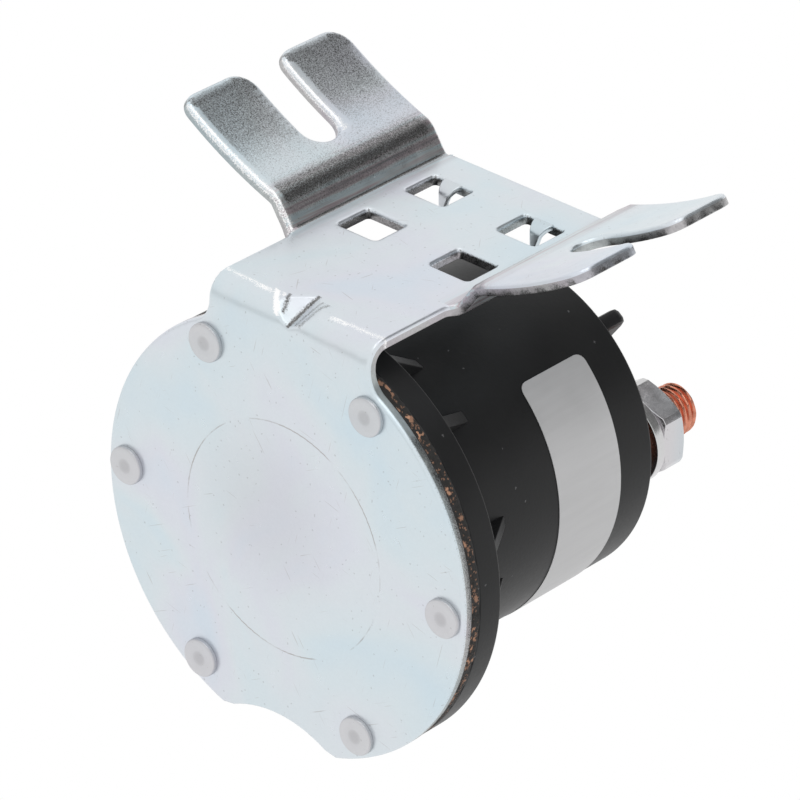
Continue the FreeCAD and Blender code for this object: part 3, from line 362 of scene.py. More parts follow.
def folded(across, up, height):
    """A point of the blank, at a height over the sheet's middle, on the folded bracket."""
    if up <= BEND_START:
        place = Vector((across, GAUGE / 2 - height, up))
    elif up < BEND_END:
        angle = (up - BEND_START) / MIDDLE_BEND
        reach = MIDDLE_BEND + height
        place = Vector((across, GAUGE + BEND_RADIUS - reach * math.cos(angle),
                        BEND_START + reach * math.sin(angle)))
    else:
        y = GAUGE + BEND_RADIUS + up - BEND_END
        if abs(across) > ARM_HALF:
            x, z, slope = ear_place(abs(across) - ARM_HALF)
            place = Vector((math.copysign(x - height * math.sin(slope), across), y,
                            z + height * math.cos(slope)))
        else:
            place = Vector((across, y, PLATFORM_TOP - GAUGE / 2 + height))
    return place


def darted(place, height, deep):
    """Press the dart into the bend: a trough from the cover's face up into the platform."""
    along = (place.y - (PLATFORM_TOP - place.z)) / math.sqrt(2)
    present = (place.y + (PLATFORM_TOP - place.z)) / math.sqrt(2)
    off = place.x - DART_MIDDLE - DART_LEAN * along
    valley = deep + DART_RISE * along + DART_WIDENS * (GAUGE / 2 - height)
    wanted = valley - DART_FLANK * (math.hypot(off, DART_POINT) - DART_POINT)
    blend = max(0.0, min(1.0, 0.5 + 0.5 * (wanted - present) / DART_SOFT))
    reached = present + (wanted - present) * blend + DART_SOFT * blend * (1 - blend)
    drawn_in = DRAWN_IN * math.exp(-((place.x - 0.8) / 3.6) ** 2 - ((along + 2.9) / 1.1) ** 2)
    shift = (reached - present + drawn_in) / math.sqrt(2)
    return place + Vector((0, shift, -shift))


def coined(place, depth):
    """Press the faint ring into the cover."""
    if place.y > 0.5 or place.z > BEND_START:
        return place
    off = abs(math.hypot(place.x, place.z) - COIN_RADIUS)
    return place + Vector((0, depth * max(0.0, 1 - off / COIN_HALF), 0))


def ear_outline():
    """Corners of the right ear on the blank, from its near foot to its far one, and radii."""
    tip = ARM_HALF + EAR_REACH
    near, far = blank_height(EAR_START), blank_height(EAR_FINISH)
    below, above = blank_height(SLOT_LINE) - SLOT_HALF, blank_height(SLOT_LINE) + SLOT_HALF
    closed_end = ARM_HALF + slot_distance(SLOT_END)
    corners = [(ARM_HALF, near), (tip, near), (tip, below), (closed_end, below),
               (closed_end, above), (tip, above), (tip, far), (ARM_HALF, far)]
    return corners, [2.0, 2.4, 3.6, SLOT_HALF - 0.05, SLOT_HALF - 0.05, 2.4, 3.6, 1.0]


def slot_distance(x):
    """Distance along the ear at which its upper face is a given way from the middle."""
    low, high = 0.0, EAR_REACH
    for step in range(40):
        middle = (low + high) / 2
        place_x, z, slope = ear_place(middle)
        if place_x - GAUGE / 2 * math.sin(slope) < x:
            low = middle
        else:
            high = middle
    return low


def arc(centre, radius, start, finish, parts):
    """Points on an arc from one angle to another."""
    angles = (start + (finish - start) * part / parts for part in range(parts + 1))
    return [Vector((centre[0] + radius * math.cos(angle), centre[1] + radius * math.sin(angle)))
            for angle in angles]


def blank_loops():
    """Outline of the flat blank, and its holes running clockwise."""
    outside = COVER_RADIUS + ARM_FILLET
    centre = Vector((ARM_HALF + ARM_FILLET, math.sqrt(outside ** 2 - (ARM_HALF + ARM_FILLET) ** 2)))
    leave = math.atan2(centre.y, centre.x)
    notch_middle = NOTCH_TOP - NOTCH_RADIUS
    cross_z = (COVER_RADIUS ** 2 - NOTCH_RADIUS ** 2 + notch_middle ** 2) / (2 * notch_middle)
    cross_x = math.sqrt(COVER_RADIUS ** 2 - cross_z ** 2)
    notch_end = math.atan2(cross_z - notch_middle, cross_x)
    half = arc((0, notch_middle), NOTCH_RADIUS, math.pi / 2, notch_end, 8)[:-1]
    half += arc((0, 0), COVER_RADIUS, math.atan2(cross_z, cross_x) + 0.03, leave, 56)
    half += arc(centre, ARM_FILLET, leave + math.pi, math.pi, 8)[1:]
    corners, radii = ear_outline()
    top = blank_height(PLATFORM_END)
    corners = [tuple(half[-1])] + corners + [(ARM_HALF, top), (0.0, top)]
    half += eased(corners, [0] + radii + [PLATFORM_CORNER, 0], steps=8, closed=False)[1:]
    left = [Vector((-point.x, point.y)) for point in reversed(half) if abs(point.x) > 1e-6]
    loops = [divided(half + left, 0.9)]
    for x in HOLE_COLUMNS:
        for y in (blank_height(SLOT_LINE + along) for along in HOLE_ROWS):
            sides = ((-1, -1), (-1, 1), (1, 1), (1, -1))
            square = [(x + across * HOLE_HALF_WIDTH, y + along * HOLE_HALF_LENGTH)
                      for across, along in sides]
            loops.append(divided(eased(square, HOLE_CORNER), 1.2))
    return loops


# Spacing of the fill in the dart, across the bend beside it, further out, up
# the bend, on the flat, along the ear's bends, along its tabs and across it
DART_STEP, BEND_STEP, OUTER_STEP, UP_STEP, FLAT_STEP = 0.24, 0.45, 0.9, 0.4, 3.0
JOGGLE_STEP, TAB_STEP, EAR_ROW_STEP = 0.28, 1.1, 1.5
DART_FILL, DART_FILL_HALF = (30.4, 39.04), 5.2
BEND_FILL, FLAT_FILL, OUTER_FILL, JOGGLE_END = 25.0, 44.0, 8.2, 7.5


def bracket_fill(loops):
    """Points inside the blank: fine where the sheet bends, coarse where it is flat."""
    points = [(DART_STEP * column, DART_FILL[0] + DART_STEP * row)
              for row in range(36) for column in range(-20, 21)]
    for row in range(44):
        up = BEND_FILL + UP_STEP * row
        inner = DART_FILL_HALF if DART_FILL[0] - 0.2 < up < DART_FILL[1] else 0.0
        points += [(side * (inner + BEND_STEP * column), up)
                   for column in range(20) for side in (-1, 1)
                   if inner + BEND_STEP * column < OUTER_FILL - 0.1]
        if row % 2 == 0:
            points += [(side * (OUTER_FILL + OUTER_STEP * column), up)
                       for column in range(7) for side in (-1, 1)]
    rows = int((blank_height(PLATFORM_END) - FLAT_FILL) / FLAT_STEP) + 1
    points += [(FLAT_STEP * column, FLAT_FILL + FLAT_STEP * row)
               for column in range(-4, 5) for row in range(rows)]
    near, run = blank_height(EAR_START), -0.5
    rows = int((EAR_FINISH - EAR_START) / EAR_ROW_STEP) + 1
    while run < EAR_REACH:
        points += [(side * (ARM_HALF + run), near + EAR_ROW_STEP * row)
                   for side in (-1, 1) for row in range(rows)]
        run += JOGGLE_STEP if run < JOGGLE_END else TAB_STEP
    ring = [COIN_RADIUS + step for step in (-1.2, -0.35, -0.18, 0, 0.18, 0.35)]
    for radius in [4, 8, 12] + ring + [20, 23, 26, 29, 31]:
        count = max(10, int(radius * (5 if radius in ring else 2)))
        points += [tuple(point) for point in arc((0, 0), radius, 0, TURN * (count - 1) / count,
                                                 count - 1)]
    seen = {}
    for point in points:
        seen.setdefault((round(point[0] / 0.2), round(point[1] / 0.2)), point)
    return clear_of(seen.values(), loops, ROLLED_BAND)


# Width of the rolled rim, and how dark the left ear's painted reflection is along its run: place,
# amount
ROLLED_BAND = 0.62
LEFT_EAR_PAINTED_REFLECTION = [(0.0, 0.0), (0.3, 0.0), (0.45, 0.86), (1.25, 0.76), (1.5, 0.0), (2.5, 0.0),
                   (3.2, 0.2), (4.4, 0.24), (5.3, 0.66), (7.0, 0.5), (7.9, 0.08), (11.0, 0.1),
                   (16.5, 0.38), (26.0, 0.46)]
# Painted lines round the dart, from below to above: places on the blank, half width, amount.
# The dark ones are painted shade along the dart's valley and creases; an amount below zero is
# a painted highlight.
DART_PAINTED_LINES = [((-0.15, 32.3), (0.45, 38.3), 0.42, 0.95), ((-1.75, 33.4), (-2.9, 36.1), 0.4, 0.7),
                ((-2.3, 32.9), (-4.9, 35.8), 0.85, -1.4), ((1.7, 32.6), (3.0, 37.2), 0.5, 0.42),
                ((0.9, 32.6), (2.0, 37.2), 0.4, 0.4)]
# Painted highlights on the left ear's near rim and along the top of the bend
PAINTED_RIM_HIGHLIGHT, PAINTED_BEND_HIGHLIGHT = -0.7, -0.75


def along_table(table, value):
    """Read a table of (place, amount) pairs between its places."""
    for (low, below), (high, above) in zip(table, table[1:]):
        if value <= high:
            return below + (above - below) * (value - low) / (high - low)
    return table[-1][1]


def ear_painted_light(across, up, height):
    """Painted light on an ear: painted shade low on the right one's cut sides, and on the left
    one a painted highlight on its near rim and a painted dark reflection across its face.
    """
    run, slot = abs(across) - ARM_HALF, blank_height(SLOT_LINE)
    slot_sides = [SLOT_HALF] if run > slot_distance(SLOT_END) else []
    near = min(abs(up - side)
               for side in [blank_height(EAR_START)] + [slot + half for half in slot_sides])
    far = min([abs(up - side)
               for side in [blank_height(EAR_FINISH)] + [slot - half for half in slot_sides]]
              + [EAR_REACH - run])
    if across > 0:
        if min(near, far) < 0.05 and height < 0.1:
            return 0.5 + 0.35 * math.sin(2.1 * (run + up))
        return 0.0
    if near < ROLLED_BAND:
        return PAINTED_RIM_HIGHLIGHT if height > 0.2 else 0.1
    return 0.1 if far < ROLLED_BAND else along_table(LEFT_EAR_PAINTED_REFLECTION, run)


def rubbed(across, up, height):
    """How much painted shade lies at a place on the blank; below zero it is a painted highlight."""
    # Painted shade on the back half of the cover's cut side, next to the gasket, below the arm
    if math.hypot(across, up) > COVER_RADIUS - 0.03 and up < 24.0:
        return 0.1 if height > 0 else 0.55 + 0.2 * math.sin(5 * math.atan2(up, across))
    if abs(across) > ARM_HALF and up > BEND_END:
        return ear_painted_light(across, up, height)
    # Painted shade along the dart's valley and creases, and its painted highlight
    for (low_x, low), (high_x, high), half, amount in DART_PAINTED_LINES:
        if low < up < high:
            off = abs(across - low_x - (high_x - low_x) * (up - low) / (high - low))
            if off < half:
                return amount * (1 - off / half)
    # A painted highlight along the top of the bend, away from the dart
    if abs(up - BEND_END + 0.35) < 0.35 and not -3.0 < across < 5.0:
        return PAINTED_BEND_HIGHLIGHT
    # Painted shade on the walls of the square holes, deeper on each hole's outer wall
    for x in HOLE_COLUMNS:
        for along in HOLE_ROWS:
            side, ahead = across - x, up - blank_height(SLOT_LINE + along)
            if abs(side) < HOLE_HALF_WIDTH + 0.05 and abs(ahead) < HOLE_HALF_LENGTH + 0.05:
                left_wall, left_hole = side < 0.2 - HOLE_HALF_WIDTH, x < 0
                return 0.6 if left_wall == left_hole else 0.25
    return 0.0


class CONTACTOR_OT_bracket(bpy.types.Operator):
    """Fold the plated bracket with its ears, dart, square holes and hook tongues"""
    bl_idname = "contactor.bracket"
    bl_label = "Bracket"

    def execute(self, context):
        looks = context.scene.contactor
        deep, depth = looks.dart_depth / MM, looks.coin_depth / MM

        def placed(across, up, height):
            return coined(darted(folded(across, up, height), height, deep), depth)

        bm = bmesh.new()
        loops = blank_loops()
        sheet(bm, loops, bracket_fill(loops), GAUGE, looks.edge_roll / MM, looks.edge_burr / MM,
              placed, rim_slot=1, rubbed=rubbed)
        for x in HOLE_COLUMNS:
            hook_tongue(bm, x)
        piece = new_piece("bracket_sheet", bm, [finish("zinc sheet"), finish("sheared zinc")],
                          sharp=50)
        put(piece, "zinc_steel", "mounting_bracket")
        return {"FINISHED"}


def hook_tongue(bm, x):
    """A hook torn down at the far edge of a square hole, which narrows to its point."""
    thin, bend, level = 0.9, 1.5, PLATFORM_TOP - 0.55
    root = SLOT_LINE + HOLE_ROWS[1] + HOLE_HALF_LENGTH
    path = [(root + 0.5, level, 0.0, 1.7), (root - 0.1, level, 0.0, 1.62)]
    path += [(root - 0.1 - bend * math.sin(angle), level - bend * (1 - math.cos(angle)), angle,
              1.6 - 0.55 * angle)
             for angle in (math.radians(80) * part / 10 for part in range(1, 11))]
    y, z, angle, half = path[-1]
    path += [(y - 0.17 * part, z - 0.9 * part, angle, half - 0.2 * part) for part in (1, 2)]
    rings = []
    for y, z, angle, half in path:
        section = eased([(-half, thin / 2), (-half, -thin / 2), (half, -thin / 2),
                         (half, thin / 2)], 0.2, steps=2)
        rings.append([bm.verts.new((x - 0.3 + point.x, y - point.y * math.sin(angle),
                                    z + point.y * math.cos(angle)))
                      for point in section])
    bridged(bm, rings)
    bm.faces.new(rings[0])
    bm.faces.new(reversed(rings[-1]))


# ------------------------------------------------- gasket, rivets, case, label

GASKET_RADIUS, GASKET_BORE, FLANGE_START, FLANGE_END = 32.0, 23.0, 3.4, 7.65
HEAD_RADIUS, SHANK_RADIUS, SEAT_RADIUS = 2.82, 1.9, 2.65
TAIL_RADIUS, TAIL_START, TAIL_HEIGHT = 2.6, 6.25, 1.2
CASE_END, CAVITY_END, CASE_RADIUS, CAVITY_RADIUS = 49.2, 43.2, 23.9, 21.8
GUSSET_OUT, GUSSET_END, GUSSET_THICK, GUSSET_EASE, GUSSET_TURN = 30.6, 18.15, 1.8, 0.22, 11.5
FIN_IN, FIN_END, FIN_THICK, FIN_CORNER, FIN_EASE, FIN_TURNS = 12.5, 54.2, 2.4, 1.8, 0.7, (54, 126)
STUD_OUT, STUD_RADIUS, STUD_HEAD, STUD_END = 15.5, 3.97, 5.8, 65.3
COIL_STUD_OUT, COIL_STUD_RADIUS, COIL_STUD_END = 14.0, 2.41, 58.2
BOSS_RADIUS, BOSS_END = 4.6, 51.2
SIXTHS = [TURN / 6 * step for step in range(6)]


def notch_distance(angle):
    """How far the round notch below lets a ring reach from the axis at an angle."""
    middle = NOTCH_TOP - NOTCH_RADIUS
    ahead = middle * math.sin(angle)
    reach = ahead ** 2 - middle ** 2 + NOTCH_RADIUS ** 2
    return ahead - math.sqrt(reach) if ahead > 0 and reach > 0 else 1e3


class CONTACTOR_OT_gasket(bpy.types.Operator):
    """Cut the cork and rubber gasket, a little ragged at its rim"""
    bl_idname = "contactor.gasket"
    bl_label = "Gasket"

    def execute(self, context):
        ragged = context.scene.contactor.ragged / MM

        def wander(angle, radius, y):
            if radius < 30:
                return 0.0
            spot = Vector((math.cos(angle) * 14, y * 0.9, math.sin(angle) * 14))
            torn = min(0.0, ragged * (noise.noise(spot) + 0.7 * noise.noise(spot * 3.7))
                       - 0.3 * ragged)
            return min(0.0, notch_distance(angle) - radius) + torn

        bm = bmesh.new()
        levels = [GAUGE + 0.02 + (FLANGE_START - GAUGE - 0.025) * step / 8 for step in range(9)]
        turned(bm, [(GASKET_BORE, levels[0])] + [(GASKET_RADIUS, y) for y in levels]
               + [(GASKET_BORE, levels[-1])], segments=720, wander=wander)
        for face in bm.faces:
            face.material_index = 0 if levels[1] < face.calc_center_median().y < levels[-2] else 1
        piece = new_piece("gasket_ring", bm, [finish("cork and rubber"), finish("soft rubber")],
                          sharp=60)
        put(piece, "cork_rubber", "cover_gasket")
        return {"FINISHED"}


class CONTACTOR_OT_rivets(bpy.types.Operator):
    """Set the six flat-headed rivets round the cover"""
    bl_idname = "contactor.rivets"
    bl_label = "Cover rivets"

    def execute(self, context):
        profile = [(0.0, -0.58), (0.6, -0.59), (0.95, -0.645), (1.2, -0.68), (2.1, -0.69),
                   (2.6, -0.66), (2.74, -0.6), (2.8, -0.5), (HEAD_RADIUS, -0.36),
                   (HEAD_RADIUS, -0.02), (2.5, -0.004), (SHANK_RADIUS, 0.02)]
        profile += [(radius, TAIL_START + y) for radius, y in
                    ((SHANK_RADIUS, 0.01), (TAIL_RADIUS - 0.02, 0.01), (TAIL_RADIUS, 0.6),
                     (TAIL_RADIUS - 0.3, 1.0), (SHANK_RADIUS, TAIL_HEIGHT - 0.03),
                     (0.0, TAIL_HEIGHT))]
        middles = [(RIVET_CIRCLE * math.cos(angle), RIVET_CIRCLE * math.sin(angle))
                   for angle in SIXTHS]
        bm = bmesh.new()
        for x, z in middles:
            turned(bm, profile, segments=56, closed=False, x=x, z=z)
        wear_and_painted_light = bm.verts.layers.float.new("rubbed")
        # Painted shade in each head's dimple and along its rim
        for vert in bm.verts:
            near = min(math.hypot(vert.co.x - x, vert.co.z - z) for x, z in middles)
            rim = 0.6 if near > HEAD_RADIUS - 0.12 else 0.0
            vert[wear_and_painted_light] = max(0.0, min(1.0, (1.25 - near) / 0.45)) + rim
        put(new_piece("rivet_set", bm, [finish("zinc rivet")], sharp=32), "zinc_steel",
            "cover_rivets")
        return {"FINISHED"}


def standing(angle):
    """Places for a plate that stands on the case at an angle: radius, y, height over its middle."""
    def placed(radius, y, height):
        return (radius * math.cos(angle) - height * math.sin(angle), y,
                radius * math.sin(angle) + height * math.cos(angle))
    return placed


class CONTACTOR_OT_case(bpy.types.Operator):
    """Mould the case with its flange, gussets, fins and bosses"""
    bl_idname = "contactor.case"
    bl_label = "Case"

    def execute(self, context):
        bm = bmesh.new()
        flange = [Vector((radius * math.cos(angle), radius * math.sin(angle))) for angle, radius in
                  ((angle, min(GASKET_RADIUS, notch_distance(angle))) for angle in
                   (TURN * step / 720 for step in range(720)))]
        seats = [arc((RIVET_CIRCLE * math.cos(turn), RIVET_CIRCLE * math.sin(turn)),
                     SEAT_RADIUS, 0, -TURN, 48)[:-1]
                 for turn in SIXTHS]
        bore = arc((0, 0), CASE_RADIUS - 1.0, 0, -TURN, 96)[:-1]
        sheet(bm, [flange, bore] + seats, [], FLANGE_END - FLANGE_START, 0.35, 0.2,
              lambda x, z, height: Vector((x, (FLANGE_START + FLANGE_END) / 2 + height, z)))
        under = CASE_RADIUS + 0.5
        shell = eased([(CAVITY_RADIUS, FLANGE_START + 0.1), (under, FLANGE_START + 0.1),
                       (under, FLANGE_END - 0.02), (CASE_RADIUS, FLANGE_END + 0.5),
                       (CASE_RADIUS, CASE_END), (13.0, CASE_END)],
                      [0, 0, 0, 0.6, 0.5, 0], closed=False)
        turned(bm, shell + [(0.0, CASE_END), (0.0, CAVITY_END), (CAVITY_RADIUS, CAVITY_END)],
               segments=192)
        root, foot = CASE_RADIUS - 1.0, FLANGE_END - 1.0
        gusset = eased([(root, foot), (GUSSET_OUT, foot), (GUSSET_OUT, FLANGE_END + 0.1),
                        (CASE_RADIUS + 0.05, GUSSET_END), (root, GUSSET_END)],
                       [0, 0, 0.2, 0.3, 0], steps=2)
        for angle in SIXTHS:
            for side in (-1, 1):
                plate(bm, gusset, GUSSET_THICK, GUSSET_EASE,
                      standing(angle + side * math.radians(GUSSET_TURN)))
        low, outer = CASE_END - 1.8, CASE_RADIUS - 0.5
        fin = eased([(FIN_IN, low), (outer, low), (outer, FIN_END), (FIN_IN, FIN_END)],
                    [0, 0, FIN_CORNER, FIN_CORNER], steps=6)
        for angle in FIN_TURNS:
            plate(bm, fin, FIN_THICK, FIN_EASE, standing(math.radians(angle)))
        boss = eased([(BOSS_RADIUS, CASE_END - 0.5), (BOSS_RADIUS, BOSS_END), (2.5, BOSS_END)],
                     [0, 0.3, 0], steps=3, closed=False)
        for z in (-COIL_STUD_OUT, COIL_STUD_OUT):
            turned(bm, boss, segments=48, closed=False, z=z)
        put(new_piece("moulded_case", bm, [finish("black plastic")], sharp=40), "black_plastic",
            "housing")
        return {"FINISHED"}


class CONTACTOR_OT_label(bpy.types.Operator):
    """Wrap the bare label round the barrel"""
    bl_idname = "contactor.label"
    bl_label = "Label"

    def execute(self, context):
        radius, thickness, low, high, corner = CASE_RADIUS + 0.065, 0.11, 29.2, 42.2, 1.4
        top, span = math.radians(49.0), math.radians(128.0)
        reach = radius * span

        def placed(run, y, height):
            angle = top - run / radius
            return ((radius + height) * math.cos(angle), y, (radius + height) * math.sin(angle))

        loops = [divided(eased([(0, low), (reach, low), (reach, high), (0, high)], corner, steps=5),
                         0.9)]
        fill = clear_of([(0.9 * column, low + 2.6 * row) for column in range(int(reach / 0.9) + 1)
                         for row in range(1, 5)], loops, 0.5)
        bm = bmesh.new()
        sheet(bm, loops, fill, thickness, 0.03, 0.02, placed)
        put(new_piece("bare_label", bm, [finish("label foil")], sharp=50), "label_foil", "label")
        return {"FINISHED"}


# ------------------------------------------------------------ studs and nuts

def threaded(bm, x, z, start, finish_y, major, pitch, chamfer, slant, segments=72):
    """A rolled thread: a helical ridge between two places along the stud, closed at both ends."""
    depth = 0.6 * pitch
    rows = int((finish_y - start) / pitch * 10)
    rings = []
    for row in range(rows + 1):
        y = start + (finish_y - start) * row / rows
        taper = slant * max(0.0, y - finish_y + chamfer) + 0.9 * max(0.0, y - finish_y + 0.4)
        ring = []
        for column in range(segments):
            ridge = abs(2 * ((y / pitch - column / segments) % 1.0) - 1)
            ridge = min(1.0, max(0.0, (ridge - 0.12) / 0.7))
            radius = major - depth * (1 - ridge ** 0.9) - taper
            angle = TURN * column / segments
            ring.append(bm.verts.new((x + radius * math.cos(angle), y,
                                      z + radius * math.sin(angle))))
        rings.append(ring)
    bridged(bm, rings)
    for ring, y in ((rings[0], start), (rings[-1], finish_y)):
        middle = bm.verts.new((x, y, z))
        for index, vert in enumerate(ring):
            bm.faces.new((ring[index - 1], vert, middle))


class CONTACTOR_OT_power_studs(bpy.types.Operator):
    """Turn the two copper power studs and roll their threads"""
    bl_idname = "contactor.power_studs"
    bl_label = "Power studs"

    def execute(self, context):
        pitch = context.scene.contactor.pitch / MM
        low, neck, shoulder = CAVITY_END - 3.2, 5.2, CASE_END + 2.9
        head = eased([(0, low), (STUD_HEAD, low), (STUD_HEAD, CAVITY_END), (neck, CAVITY_END),
                      (neck, shoulder), (0, shoulder)],
                     [0, 0.4, 0, 0, 0.3, 0], steps=3, closed=False)
        for side, x in (("left", -STUD_OUT), ("right", STUD_OUT)):
            bm = bmesh.new()
            turned(bm, head, segments=72, x=x, closed=False)
            threaded(bm, x, 0.0, shoulder - 0.1, STUD_END, STUD_RADIUS, pitch, chamfer=5.2,
                     slant=0.06)
            put(new_piece("stud_" + side, bm, [finish("stud copper")], sharp=45), "copper",
                "main_stud_" + side)
        return {"FINISHED"}


class CONTACTOR_OT_coil_studs(bpy.types.Operator):
    """Make the two small studs of the coil"""
    bl_idname = "contactor.coil_studs"
    bl_label = "Coil studs"

    def execute(self, context):
        pitch = context.scene.contactor.coil_pitch / MM
        low, high, head_radius = CAVITY_END - 1.6, BOSS_END - 0.2, 3.6
        head = [(0, low), (head_radius, low), (head_radius, CAVITY_END),
                (COIL_STUD_RADIUS, CAVITY_END), (COIL_STUD_RADIUS, high), (0, high)]
        for node, z in (("coil_stud_upper", COIL_STUD_OUT), ("coil_stud_lower", -COIL_STUD_OUT)):
            bm = bmesh.new()
            turned(bm, head, segments=48, z=z, closed=False)
            threaded(bm, 0.0, z, high - 0.1, COIL_STUD_END, COIL_STUD_RADIUS, pitch, chamfer=0.6,
                     slant=0.5, segments=48)
            put(new_piece(node + "_thread", bm, [finish("zinc nut")], sharp=45), "zinc_steel", node)
        return {"FINISHED"}


# Piece, CAD node, places across and up, start, thickness, then for a nut its
# flats and bore, and for a washer its inner and outer radius and its gap's place
POWER_PLACES = ((-STUD_OUT, 0.0), (STUD_OUT, 0.0))
COIL_PLACES = ((0.0, -COIL_STUD_OUT), (0.0, COIL_STUD_OUT))
NUTS = (("power_nuts", "main_nuts", POWER_PLACES, 54.1, 4.76, 12.7, 3.5),
        ("small_nuts", "coil_nuts", COIL_PLACES, 52.4, 2.9, 9.53, 2.1))
WASHERS = (("power_washers", "main_lock_washers", POWER_PLACES, 52.12, 1.96, 4.05, 6.88, 150.0),
           ("small_washers", "coil_lock_washers", COIL_PLACES, 51.22, 1.16, 2.5, 4.28, 60.0))
NUT_TURN, NUT_BEVEL, NUT_FACE, NUT_CORNER = 35.0, 28.0, 0.94, 1.118


def hexagon_nut(bm, x, z, start, thickness, flats, bore):
    """A nut with chamfered corners on both faces and a countersunk bore."""
    segments = 96
    face_radius = flats / 2 * NUT_FACE
    rings = []
    for column in range(segments):
        angle = TURN * column / segments
        off = math.radians(math.degrees(angle) % 60.0 - 30.0)
        corner = min(flats / 2 / math.cos(off), flats / 2 * NUT_CORNER)
        rise = (corner - face_radius) * math.tan(math.radians(NUT_BEVEL))
        half = [(bore, 0.5), (bore + 0.5, 0.0), (face_radius - 0.15, 0.0),
                (face_radius + 0.02, 0.03), (corner - 0.06, rise), (corner, rise + 0.08)]
        whole = half + [(radius, thickness - y) for radius, y in reversed(half)]
        turn = angle + math.radians(NUT_TURN)
        rings.append([bm.verts.new((x + radius * math.cos(turn), start + y,
                                    z + radius * math.sin(turn)))
                      for radius, y in whole])
    bridged(bm, rings + rings[:1])


class CONTACTOR_OT_nuts(bpy.types.Operator):
    """Put the hexagon nuts on the power studs and the coil studs"""
    bl_idname = "contactor.nuts"
    bl_label = "Nuts"

    def execute(self, context):
        for name, node, places, start, thickness, flats, bore in NUTS:
            bm = bmesh.new()
            for x, z in places:
                hexagon_nut(bm, x, z, start, thickness, flats, bore)
            put(new_piece(name, bm, [finish("zinc nut")], sharp=22), "zinc_steel", node)
        return {"FINISHED"}


def split_washer(bm, x, z, start, thickness, inner, outer, first):
    """A split spring washer, flattened under its nut."""
    section = eased([(inner, start), (outer, start + 0.12), (outer, start + thickness - 0.12),
                     (inner, start + thickness)], 0.22, steps=2)
    turned(bm, section, segments=90, x=x, z=z, first=math.radians(first), sweep=math.radians(351))


class CONTACTOR_OT_lock_washers(bpy.types.Operator):
    """Put the split lock washers under the nuts"""
    bl_idname = "contactor.lock_washers"
    bl_label = "Lock washers"

    def execute(self, context):
        for name, node, places, *sizes in WASHERS:
            bm = bmesh.new()
            for x, z in places:
                split_washer(bm, x, z, *sizes)
            put(new_piece(name, bm, [finish("zinc nut")], sharp=32), "zinc_steel", node)
        return {"FINISHED"}


def coil_spring(bm, start, finish_y, wire, turns):
    """A compression spring about the case's axis whose end turns are closed."""
    around, closed = 10, 30
    steps = closed * turns
    rises = [wire * 2.04 / closed] * closed
    open_rise = (finish_y - start - 2 * wire - 2 * sum(rises)) / (steps - 2 * closed)
    y, rings = start + wire, []
    for step, rise in enumerate(rises + [open_rise] * (steps - 2 * closed) + rises + [0.0]):
        angle = TURN * step / closed
        out = Vector((math.cos(angle), 0, math.sin(angle)))
        rings.append([bm.verts.new(out * (SPRING_RADIUS + spot.x) + Vector((0, y + spot.y, 0)))
                      for spot in arc((0, 0), wire, 0, -TURN, around)[:-1]])
        y += rise
    bridged(bm, rings)
    bm.faces.new(rings[0])
    bm.faces.new(reversed(rings[-1]))


SPRING_RADIUS = 3.5
# CAD node, piece, body, joint, travel, wire radius, turns, end that stays
SPRINGS = (("return_spring", "return_coil", "case", "plunger_slide", 2.8, 0.4, 7, "end"),
           ("contact_spring", "contact_coil", "plunger_group", "contact_slide", 0.8, 0.3, 5,
            "start"))


class CONTACTOR_OT_springs(bpy.types.Operator):
    """Wind the return and the contact spring"""
    bl_idname = "contactor.springs"
    bl_label = "Springs"

    def execute(self, context):
        for node, name, body, joint, travel, wire, turns, fixed_end in SPRINGS:
            low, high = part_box(node)
            start, end = [(y - COVER_FACE.y) / MM for y in (low.y, high.y)]
            bm = bmesh.new()
            coil_spring(bm, start, end, wire, turns)
            piece = put(new_piece(name, bm, [finish("turned steel")], sharp=60), "bare_steel", node,
                        body=body)
            anchor = row_point(0, start if fixed_end == "start" else end, 0)
            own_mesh(piece)
        return {"FINISHED"}


# ------------------------------------------------------------------ finishes

def add(tree, kind, values=None, **settings):
    """Add a shader node; a value may be a number, a colour or the output of another node."""
    made = tree.nodes.new("ShaderNode" + kind)
    for name, setting in settings.items():
        setattr(made, name, setting)
    fill_in(tree, made, values or {})
    return made


def fill_in(tree, node, values):
    """Set or link a node's inputs."""
    for socket, value in values.items():
        if isinstance(value, bpy.types.NodeSocket):
            tree.links.new(value, node.inputs[socket])
        else:
            node.inputs[socket].default_value = value


def maths(tree, operation, *values, clamp=False):
    """The outcome of a sum on values that are numbers or outputs."""
    return add(tree, "Math", dict(enumerate(values)), operation=operation,
               use_clamp=clamp).outputs[0]


def scaled(tree, value, factor):
    """A value times a number."""
    return maths(tree, "MULTIPLY", value, factor)


def total_of(tree, *parts):
    """The weighted sum of several values: (value, weight) each."""
    total = scaled(tree, *parts[0])
    for value, weight in parts[1:]:
        total = maths(tree, "ADD", total, scaled(tree, value, weight))
    return total


def ranged(tree, value, start, end, low=0.0, high=1.0, soft=False):
    """A value in the range low to high, carried over to the range start to end."""
    return add(tree, "MapRange",
               {"Value": value, "From Min": low, "From Max": high, "To Min": start, "To Max": end},
               interpolation_type="SMOOTHSTEP" if soft else "LINEAR").outputs["Result"]


def vector_maths(tree, operation, values, output=0):
    """The outcome of a sum on vectors."""
    return add(tree, "VectorMath", values, operation=operation).outputs[output]


def tint(tree, mask, below, above, blend="MIX"):
    """A colour that turns from one to another where a mask says so."""
    return add(tree, "Mix", {0: mask, 6: below, 7: above}, data_type="RGBA",
               blend_type=blend).outputs[2]


def opaque(values, share=1.0):
    """A colour, or a darker or lighter share of it, with its alpha."""
    return (share * values[0], share * values[1], share * values[2], 1.0)


def colour_ramp(tree, value, stops):
    """A colour ramp from (place, colour) pairs."""
    node = add(tree, "ValToRGB", {"Fac": value})
    elements = node.color_ramp.elements
    while len(elements) < len(stops):
        elements.new(0.5)
    for element, (place, shade) in zip(elements, stops):
        element.position, element.color = place, opaque(shade)
    return node.outputs["Color"]


